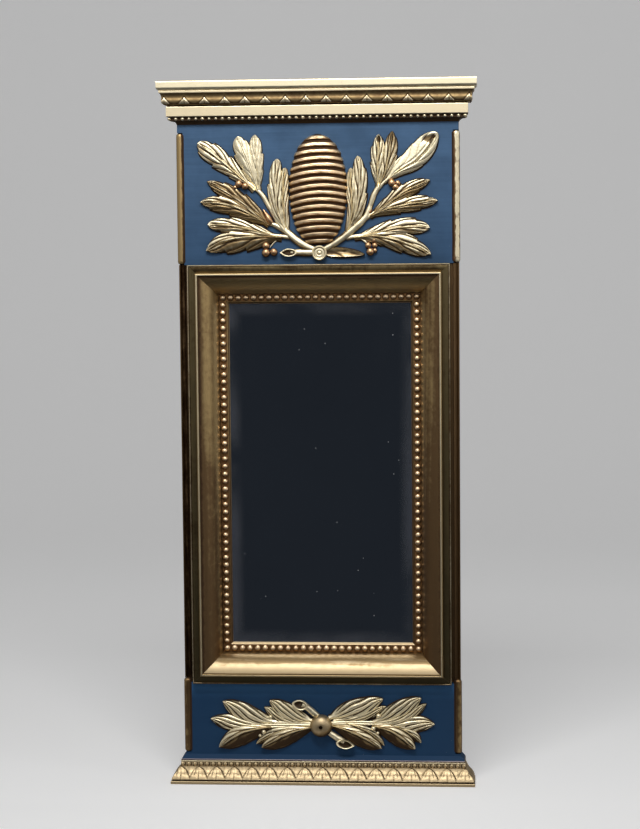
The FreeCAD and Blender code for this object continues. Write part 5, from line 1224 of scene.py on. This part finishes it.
class MIRROR_OT_foot(bpy.types.Operator):
    """Build the foot: plinth board, upright leaves on the flare, small pearls, light fillet and painted splay"""

    bl_idname = "mirror.foot"
    bl_label = "Foot"

    def execute(self, context):
        sizes = context.scene.mirror_sizes
        shell = Shell()
        flare_high = 16.7
        board = traced([(0.0, 0.0), (17.6, 0.0), (18.2, 0.6), (18.2, 3.2), (17.6, 3.8), (15.4, 3.9), (15.4, 5.0),
                        (0.0, 5.0)], 0.55)
        flare = traced([(0.0, 0.0), (15.4, 0.0), (15.4, 0.8), (17.2, 1.1, 17.0, -1), (12.4, 8.35, 17.0, 1),
                        (7.4, flare_high), (0.0, flare_high)], 0.4)
        bead = traced([(0.0, 0.0), (5.8, 0.0), (4.8, 5.0), (5.8, 5.1), (6.0, 5.4), (6.0, 6.5), (5.6, 6.9),
                       (5.4, 8.4), (4.8, 8.8), (0.0, 14.3)], 0.35)
        pitch = sizes.foot_leaf_pitch
        pearls = sizes.foot_pearl_pitch

        def leaves(along, out, up, relief):
            """Incised upright leaves: half width = 0.5 pitch * (1 - (up / 15.6) ** 1.8) ** 0.7."""
            side_of = (along / pitch + 0.5) % 1.0 - 0.5
            place = np.abs(side_of)
            front = (out > 7.0) * (up > 1.0) * (up < 16.5)
            tall = np.clip(up / 15.6, 0, 1)
            half = 0.5 * np.clip(1 - tall ** 1.8, 0, 1) ** 0.7
            edge = (half - place) * pitch
            body = smooth_step(-0.4, 0.5, edge)
            # Painted shadow: each leaf's dark outline is twice as strong on one side, the right side on the front
            line = np.exp(-((edge + 0.45) / 0.75) ** 2) * (0.5 + 0.5 * smooth_step(-0.1, 0.1, side_of))
            crown = 1 - np.clip(place / np.maximum(half, 0.02), 0, 1) ** 2
            midrib = np.exp(-(place * pitch / 0.6) ** 2) * smooth_step(0.8, 0.5, tall)
            stroke = np.exp(-((place * pitch - 2.2 - 5.0 * (1 - tall) ** 0.7) / 0.5) ** 2)
            stroke = stroke * smooth_step(0.25, 0.5, tall) * smooth_step(0.95, 0.8, tall) * body
            tip_half = 0.6 + 0.35 * np.clip(16.5 - up, 0, 9)
            tip = np.exp(-((place - 0.5) * pitch / tip_half) ** 2) * (1 - body)
            worked = 0.12 * ripple(3, along, up * 2, scale=9)
            raised = front * (-0.6 + 0.4 * body + 0.4 * crown * body - 0.5 * midrib - 0.4 * stroke - 0.5 * line
                              + 0.3 * tip + worked)
            carved = 0.54 + 0.12 * body - 0.75 * line - 0.5 * midrib - 0.5 * stroke + 0.12 * tip + 0.3 * worked
            return raised, np.where(front > 0.5, np.clip(carved, 0, 1), relief * (up > 1.2))

        def row(along, out, up, relief):
            """Round pearls in a sunk row: height = root(radius ** 2 - distance ** 2)."""
            radius = 2.45
            place = ((along / pearls + 0.5) % 1.0 - 0.5) * pearls
            away = np.sqrt(place ** 2 + (up - 2.5) ** 2)
            inside = (up < 5.0) * (out > 4.0) * (up > 0.05)
            pearl = np.sqrt(np.clip(radius ** 2 - away ** 2, 0, None))
            ring = np.exp(-((away - radius - 0.3) / 0.5) ** 2)
            # Painted light: each pearl's mark a little higher towards its top
            mark = np.clip(0.36 + 0.17 * pearl + 0.06 * (up - 2.5) - 0.5 * ring, 0, 1)
            mark = np.where(inside > 0.5, mark, relief) * ((up < 6.7) | (up > 8.2))
            return inside * (pearl * 0.75 - 0.6), mark

        for side in RUNS:
            points, relief = cornice_run(board, side, PLINTH_LOW[2], 5.0)
            shell.grid(points, relief * (board[None, :, 1] < 3.85), -0.1)
            points, relief = cornice_run(flare, side, PLINTH_HIGH[2], 0.75, leaves)
            Shell().grid(points, relief, 0.4).build(
                "foot_leaves_" + side, "mirror", "gilt", ["faded_gilt"], ["foot_leaf_" + side], 60)
            points, relief = cornice_run(bead, side, PLINTH_HIGH[2] + flare_high, 0.7, row)
            slots = np.digitize(bead[:, 1], (5.05, 6.6, 8.7))
            Shell().grid(points, relief, 0.4, slot=slots[None, :]).build(
                "foot_pearls_" + side, "mirror", "gilt",
                ["faded_gilt", "bright_gilt", "grey_gilt", "blue_distemper"], ["foot_bead_" + side], 50)
        shell.grid(body_slab(PLINTH_LOW[2], PLINTH_HIGH[2], 40), 0.5, 0.5)
        shell.build("plinth", "mirror", "gilt", ["faded_gilt"], ["plinth_board"])
        return {"FINISHED"}


class MIRROR_OT_egg(bpy.types.Operator):
    """Carve the ribbed egg"""

    bl_idname = "mirror.egg"
    bl_label = "Ribbed egg"

    def execute(self, context):
        """Half egg: (half(z) cos t, relief(z) * root(1 - |cos t| ** 3.5), z), half(z) smooth through the outline.

        Its flat ribs lie between grooves where (z + bow * (x / greatest half - 0.15) ** 2) / pitch is whole.
        """
        sizes = context.scene.mirror_sizes
        middle, half_wide = (EGG_LOW[0] + EGG_HIGH[0]) / 2, (EGG_HIGH[0] - EGG_LOW[0]) / 2
        line = curve_through(EGG_OUTLINE, 460)
        height, half = FIELD_FOOT + line[:, :1], np.maximum(line[:, 1:], 0.05) * half_wide
        turn = np.linspace(0, math.pi, 91)[None, :]
        x = half * np.cos(turn)
        up = (FACE - EGG_LOW[1]) * (half / half_wide) ** 0.75 * (1 - np.abs(np.cos(turn)) ** 3.5) ** 0.5
        rows = height + sizes.rib_bow * (x / half_wide - 0.15) ** 2 + 0.5 * ripple(2, x, height, scale=50)
        rows = rows / sizes.rib_pitch + 0.47
        phase = rows - np.floor(rows)
        rib = smooth_step(0.0, 0.16, phase - 0.32) * smooth_step(0.0, 0.10, 1 - phase)
        crease = np.exp(-((phase - 0.66) / 0.035) ** 2)
        swell = 0.82 + 0.18 * np.sin(math.pi * np.clip((phase - 0.32) / 0.68, 0, 1))
        sunk = sizes.rib_depth * (1 - rib * swell)
        carve = ripple(9, x, height * 3, scale=14) * 0.2 + ripple(12, x * 2, height * 5, scale=9) * 0.12
        shrink = 1 - sunk * 0.34 / np.maximum(half, 6)
        up = np.maximum(up - (sunk + 0.25 * crease) * np.sin(turn) ** 0.6 + carve * np.sin(turn), 0)
        points = stacked(middle + x * shrink, FACE - up, height)
        # Painted shade: each rib lighter at its top, and darker and more toned towards its lower part
        relief = np.clip(-0.05 + 0.85 * rib - 0.22 * crease - 0.25 * (1 - phase) * rib + 0.3 * carve, 0, 1)
        tone = 0.3 + 0.7 * smooth_step(0.78, 0.5, phase)
        Shell().grid(points, relief, tone).build("ribbed_egg", "mirror", "gilt", ["warm_gilt"], ["egg"], 70)
        return {"FINISHED"}


class MIRROR_OT_buttons(bpy.types.Operator):
    """Turn the rosette under the egg and the boss of the lower panel"""

    bl_idname = "mirror.buttons"
    bl_label = "Rosette and boss"

    def execute(self, context):
        centre = middle_on_face("rosette")
        section = np.array([(8.8, 0.0), (9.5, 1.0), (9.6, 5.2), (9.3, 7.2), (8.7, 8.1), (8.0, 8.2), (7.4, 7.6),
                            (6.9, 6.6), (6.2, 6.3), (5.0, 6.6), (3.6, 6.9), (3.0, 6.3), (2.5, 6.3), (2.0, 7.0),
                            (1.0, 7.3), (0.02, 7.4)])
        marks = np.array([0.0, 0.1, 0.3, 0.7, 1.0, 1.0, 0.6, 0.16, 0.4, 0.8, 0.85, 0.25, 0.25, 0.8, 0.9, 0.9])
        points = lathe_grid(centre, section, 56)
        Shell().grid(points, marks[:, None], 0.2).build(
            "turned_rosette", "mirror", "gilt", ["carved_gilt"], ["rosette"], 60)
        centre, radius = middle_on_face("boss"), 14.5
        turn = np.linspace(0, math.pi / 2, 26)
        dome = np.stack([radius * np.cos(turn) ** 0.86, 3.2 + 11.8 * np.sin(turn)], axis=1)
        dome = dome[dome[:, 0] > 3.1]
        section = np.concatenate([[(13.7, 0.0), (14.4, 1.2)], dome,
                                  [(2.6, 14.7), (2.3, 13.6), (2.2, 10.0), (1.2, 9.2), (0.02, 9.0)]])
        marks = np.concatenate([[0.0, 0.1], 0.4 + 0.3 * np.sin(turn[:len(dome)]), [0.7, 0.1, 0.0, 0.0, 0.0]])
        points = lathe_grid(centre, section, 72)
        # Painted shade: the boss toned darker, with lower marks, on its lower and right side
        down = centre[2] - points[..., 2] + 0.4 * (points[..., 0] - centre[0])
        down = np.clip(down / radius + 0.1, 0, 1)
        Shell().grid(points, np.clip(marks[:, None] - 0.5 * down, 0, 1), 0.1 + 0.9 * down).build(
            "turned_boss", "mirror", "gilt", ["faded_gilt"], ["boss"], 50)
        return {"FINISHED"}


def carved_leaves(shell, leaves, first_seed, depth):
    """Adds the leaves of a table to the shell, their pleats scaled by the depth."""
    for seed, leaf in enumerate(leaves):
        add_leaf(shell, **{**leaf, "pleat": leaf.get("pleat", 1.0) * depth}, seed=first_seed + seed)


class MIRROR_OT_laurel(bpy.types.Operator):
    """Carve the laurel beside the egg"""

    bl_idname = "mirror.laurel"
    bl_label = "Laurel"

    def execute(self, context):
        for side in SIDE_SIGNS:
            shell = Shell()
            carved_leaves(shell, LAUREL_LEAVES[side], 40, context.scene.mirror_sizes.leaf_relief)
            for seed, line in enumerate(LAUREL_STEMS[side]):
                add_stem(shell, line, seed=seed, tone=0.62)
            add_stem(shell, LAUREL_BUDS[side], seed=30, tone=1.0, count=30, slot=1)
            if side == "left":
                add_cut_end(shell, (-37.5, 683.3), 11.0, 5.0, math.pi, 7.4, point=0.75, tone=0.1, lean=0.2)
            for x, z, radius in LAUREL_BERRIES[side]:
                add_berry(shell, x, z, radius * 1.1, radius * 1.7, tone=0.6)
            shell.build("laurel_spray_" + side, "mirror", "gilt", ["carved_gilt", "red_gilt"],
                        ["laurel_" + side], 65)
        return {"FINISHED"}


class MIRROR_OT_swags(bpy.types.Operator):
    """Carve the leaves beside the boss"""

    bl_idname = "mirror.swags"
    bl_label = "Lower leaves"

    def execute(self, context):
        for side in SIDE_SIGNS:
            shell = Shell()
            carved_leaves(shell, SWAG_LEAVES[side], 70, context.scene.mirror_sizes.leaf_relief)
            for seed, line in enumerate(SWAG_STEMS[side]):
                add_stem(shell, line, seed=seed + 9, tone=0.35)
            if side == "left":
                add_cut_end(shell, (-28.5, 102.6), 10.4, 6.2, math.radians(168), 9.6, point=0.35, tone=0.1,
                            lean=0.15)
            else:
                add_cut_end(shell, (29.5, 51.6), 12.0, 5.4, math.radians(-9), 8.4, point=0.75, tone=0.4,
                            lean=-0.25)
            for x, z, radius in SWAG_BERRIES[side]:
                add_berry(shell, x, z, radius, radius * 2.4, tone=0.9, slot=0)
            shell.build("swag_spray_" + side, "mirror", "gilt", ["pale_gilt"], ["swag_" + side], 65)
        return {"FINISHED"}


class MIRROR_OT_ring(bpy.types.Operator):
    """Forge the hanging ring"""

    bl_idname = "mirror.ring"
    bl_label = "Hanging ring"

    def execute(self, context):
        """Round wire carried once round a D: the bar through the eye, two legs and the bow."""
        low, high = node_box("hanging_ring")
        wire, half, leg = 1.98, 11.0, 8.0
        centre_y, pivot = (low[1] + high[1]) / 2, high[2] - 2.0
        turn = np.linspace(0, math.pi, 40)
        bow = np.stack([half * np.cos(turn), pivot - leg - half * np.sin(turn)], axis=1)
        corner = np.linspace(0, math.pi / 2, 8)
        left = np.stack([-half + 2 - 2 * np.cos(corner), pivot - 2 + 2 * np.sin(corner)], axis=1)
        right = np.stack([half - 2 + 2 * np.sin(corner), pivot - 2 + 2 * np.cos(corner)], axis=1)
        bar = np.stack([np.linspace(-half + 3, half - 3, 12), np.full(12, pivot)], axis=1)
        path = np.concatenate([bow, left, bar, right])
        along = np.roll(path, -1, axis=0) - np.roll(path, 1, axis=0)
        along /= np.linalg.norm(along, axis=1)[:, None]
        around = whole_turn(18)
        blows = 1 + 0.03 * ripple(4, np.arange(len(path))[:, None], around * 3, scale=9)
        in_eye = (np.abs(path[:, :1]) < 6) & (path[:, 1:] > pivot - 1)
        blows = np.where(in_eye, 1.0, blows)
        reach = wire * np.minimum(blows, 1.0)
        x, z = beside(path, along, reach * np.cos(around))
        points = stacked(x, centre_y + reach * np.sin(around), z)
        points = np.concatenate([points, points[:1]])
        Shell().grid(points, capped=False).build(
            "forged_ring", "ring", "iron", ["forged_iron"], ["hanging_ring"], 60)
        return {"FINISHED"}


def stage_sheet(name, run, half_wide, columns, material):
    """Sheet of the stage: a run of (y, z), in metres, carried across."""
    across = np.linspace(-half_wide, half_wide, columns)[:, None]
    sheet = Shell().grid(stacked(across, run[None, :, 0], run[None, :, 1]), around=False, capped=False)
    mesh = bpy.data.meshes.new(name)
    mesh.from_pydata(np.concatenate(sheet.points).tolist(), [], sheet.faces)
    mesh.materials.append(material)
    mesh.polygons.foreach_set("use_smooth", [True] * len(mesh.polygons))
    piece = bpy.data.objects.new(name, mesh)
    bpy.context.scene.collection.objects.link(piece)
    return piece


class MIRROR_OT_stage(bpy.types.Operator):
    """Set the floor, the lamps, a dark sheet seen only in reflections and glowing faintly, that paints a dark
    reflection into the plate and the gilding, and the camera
    """

    bl_idname = "mirror.stage"
    bl_label = "Stage"

    def execute(self, context):
        scene, stage = context.scene, context.scene.mirror_stage
        scene.view_settings.view_transform = "Standard"
        grey = (stage.floor_grey,) * 3
        paper, nodes, shader = new_material("pale_paper")
        place = nodes.add("ShaderNodeTexCoord").outputs["Object"]
        soft = nodes.mix(nodes.noise(place, 3.0, 3.0), tinted(grey, 0.98), tinted(grey, (1.02, 1.02, 1.01)))
        path = nodes.add("ShaderNodeLightPath").outputs
        nodes.fill(shader, {"Base Color": soft, "Roughness": 0.9, "Emission Color": (1, 1, 1, 1),
                            "Emission Strength": nodes.times(path["Is Camera Ray"], stage.paper_glow * 0.6)})
        run = traced([(-6.0, 0.0), (2.2, 0.0, 1.2, -1), (3.4, 1.2), (3.4, 5.0)], 0.12, closed=False)
        stage_sheet("paper_sweep", run - (0, 0.0002), 6, 3, paper)
        reflection_sheet, nodes, shader = new_material("dark_cloth")
        # A faintly glowing dark sheet seen only in reflections: a painted dark reflection in the plate and the
        # gilding
        glow = nodes.add("ShaderNodeEmission", {"Color": (0.019, 0.023, 0.030, 1), "Strength": 1.0})
        nodes.tree.links.new(glow.outputs[0], nodes.tree.nodes["Material Output"].inputs["Surface"])
        run = traced([(-0.12, 0.004), (-2.4, 0.004, 0.9, 1), (-3.0, 0.95)], 0.08, closed=False)
        hanging = stage_sheet("dark_cloth", run, 1.1, 12, reflection_sheet)
        hanging.visible_camera = hanging.visible_diffuse = hanging.visible_shadow = False
        hanging.visible_transmission = False
        world = bpy.data.worlds.new("studio")
        world.use_nodes = True
        grey = stage.world_grey
        nodes = Nodes(world.node_tree)
        path = nodes.add("ShaderNodeLightPath").outputs
        shown = nodes.math("MAXIMUM", path["Is Camera Ray"], path["Is Glossy Ray"])
        shown = nodes.math("MAXIMUM", shown, path["Is Transmission Ray"])
        sky = nodes.mix(shown, (grey, grey, grey * 1.02, 1), (stage.paper_glow,) * 3 + (1,))
        world.node_tree.links.new(sky, world.node_tree.nodes["Background"].inputs["Color"])
        scene.world = world
        for name, power, place, aim, wide, tall in (
                ("key_lamp", stage.key_power, (-0.05, -1.0, 1.75), (0.0, 0.0, 0.75), 0.9, 0.35),
                ("front_lamp", stage.key_power * 0.45, (0.15, -2.7, 1.55), (0.0, 0.0, 0.8), 1.8, 0.8),
                ("side_lamp", stage.key_power * 0.14, (1.5, -0.8, 0.95), (0.0, 0.0, 0.6), 0.4, 1.2)):
            light = bpy.data.lights.new(name, "AREA")
            light.shape, light.size, light.size_y, light.energy = "RECTANGLE", wide, tall, power
            lamp = bpy.data.objects.new(name, light)
            lamp.visible_camera = False
            lamp.matrix_world = Matrix.Translation(place) @ (Vector(aim) - Vector(place)).to_track_quat(
                "-Z", "Y").to_matrix().to_4x4()
            scene.collection.objects.link(lamp)
        lens = bpy.data.cameras.new("camera")
        lens.lens, lens.sensor_width, lens.clip_end = stage.camera_lens, 36.0, 100.0
        camera = bpy.data.objects.new("camera", lens)
        turn = (Matrix.Rotation(stage.camera_yaw, 4, "Z") @ Matrix.Rotation(stage.camera_pitch, 4, "X")
                @ Matrix.Rotation(stage.camera_roll, 4, "Y") @ Matrix.Rotation(math.pi / 2, 4, "X"))
        camera.matrix_world = Matrix.Translation(stage.camera_place) @ turn
        scene.collection.objects.link(camera)
        scene.camera = camera
        return {"FINISHED"}


class MIRROR_PT_steps(bpy.types.Panel):
    """Steps of the mirror, in order"""

    bl_idname = "MIRROR_PT_steps"
    bl_label = "Pier mirror"
    bl_space_type = "VIEW_3D"
    bl_region_type = "UI"
    bl_category = "Mirror"

    def draw(self, context):
        for group in (context.scene.mirror_sizes, context.scene.mirror_colours, context.scene.mirror_stage):
            box = self.layout.box()
            for name in group.__annotations__:
                box.prop(group, name)
        for step in STEPS:
            self.layout.operator(step.bl_idname)


STEPS = (MIRROR_OT_stage, MIRROR_OT_panels, MIRROR_OT_carcass, MIRROR_OT_plate, MIRROR_OT_frame_rails,
         MIRROR_OT_frame_bands, MIRROR_OT_pearls, MIRROR_OT_rods, MIRROR_OT_cornice, MIRROR_OT_foot, MIRROR_OT_egg,
         MIRROR_OT_buttons, MIRROR_OT_laurel, MIRROR_OT_swags, MIRROR_OT_ring)
GROUPS = (("mirror_sizes", MirrorSizes), ("mirror_colours", MirrorColours), ("mirror_stage", MirrorStage))


def register():
    for name, group in GROUPS:
        bpy.utils.register_class(group)
        setattr(bpy.types.Scene, name, bpy.props.PointerProperty(type=group))
    for step in STEPS:
        bpy.utils.register_class(step)
    bpy.utils.register_class(MIRROR_PT_steps)


def unregister():
    bpy.utils.unregister_class(MIRROR_PT_steps)
    for step in reversed(STEPS):
        bpy.utils.unregister_class(step)
    for name, group in GROUPS:
        delattr(bpy.types.Scene, name)
        bpy.utils.unregister_class(group)


def main():
    """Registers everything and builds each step."""
    register()
    for step in STEPS:
        family, name = step.bl_idname.split(".")
        getattr(getattr(bpy.ops, family), name)()


if __name__ == "__main__":
    main()
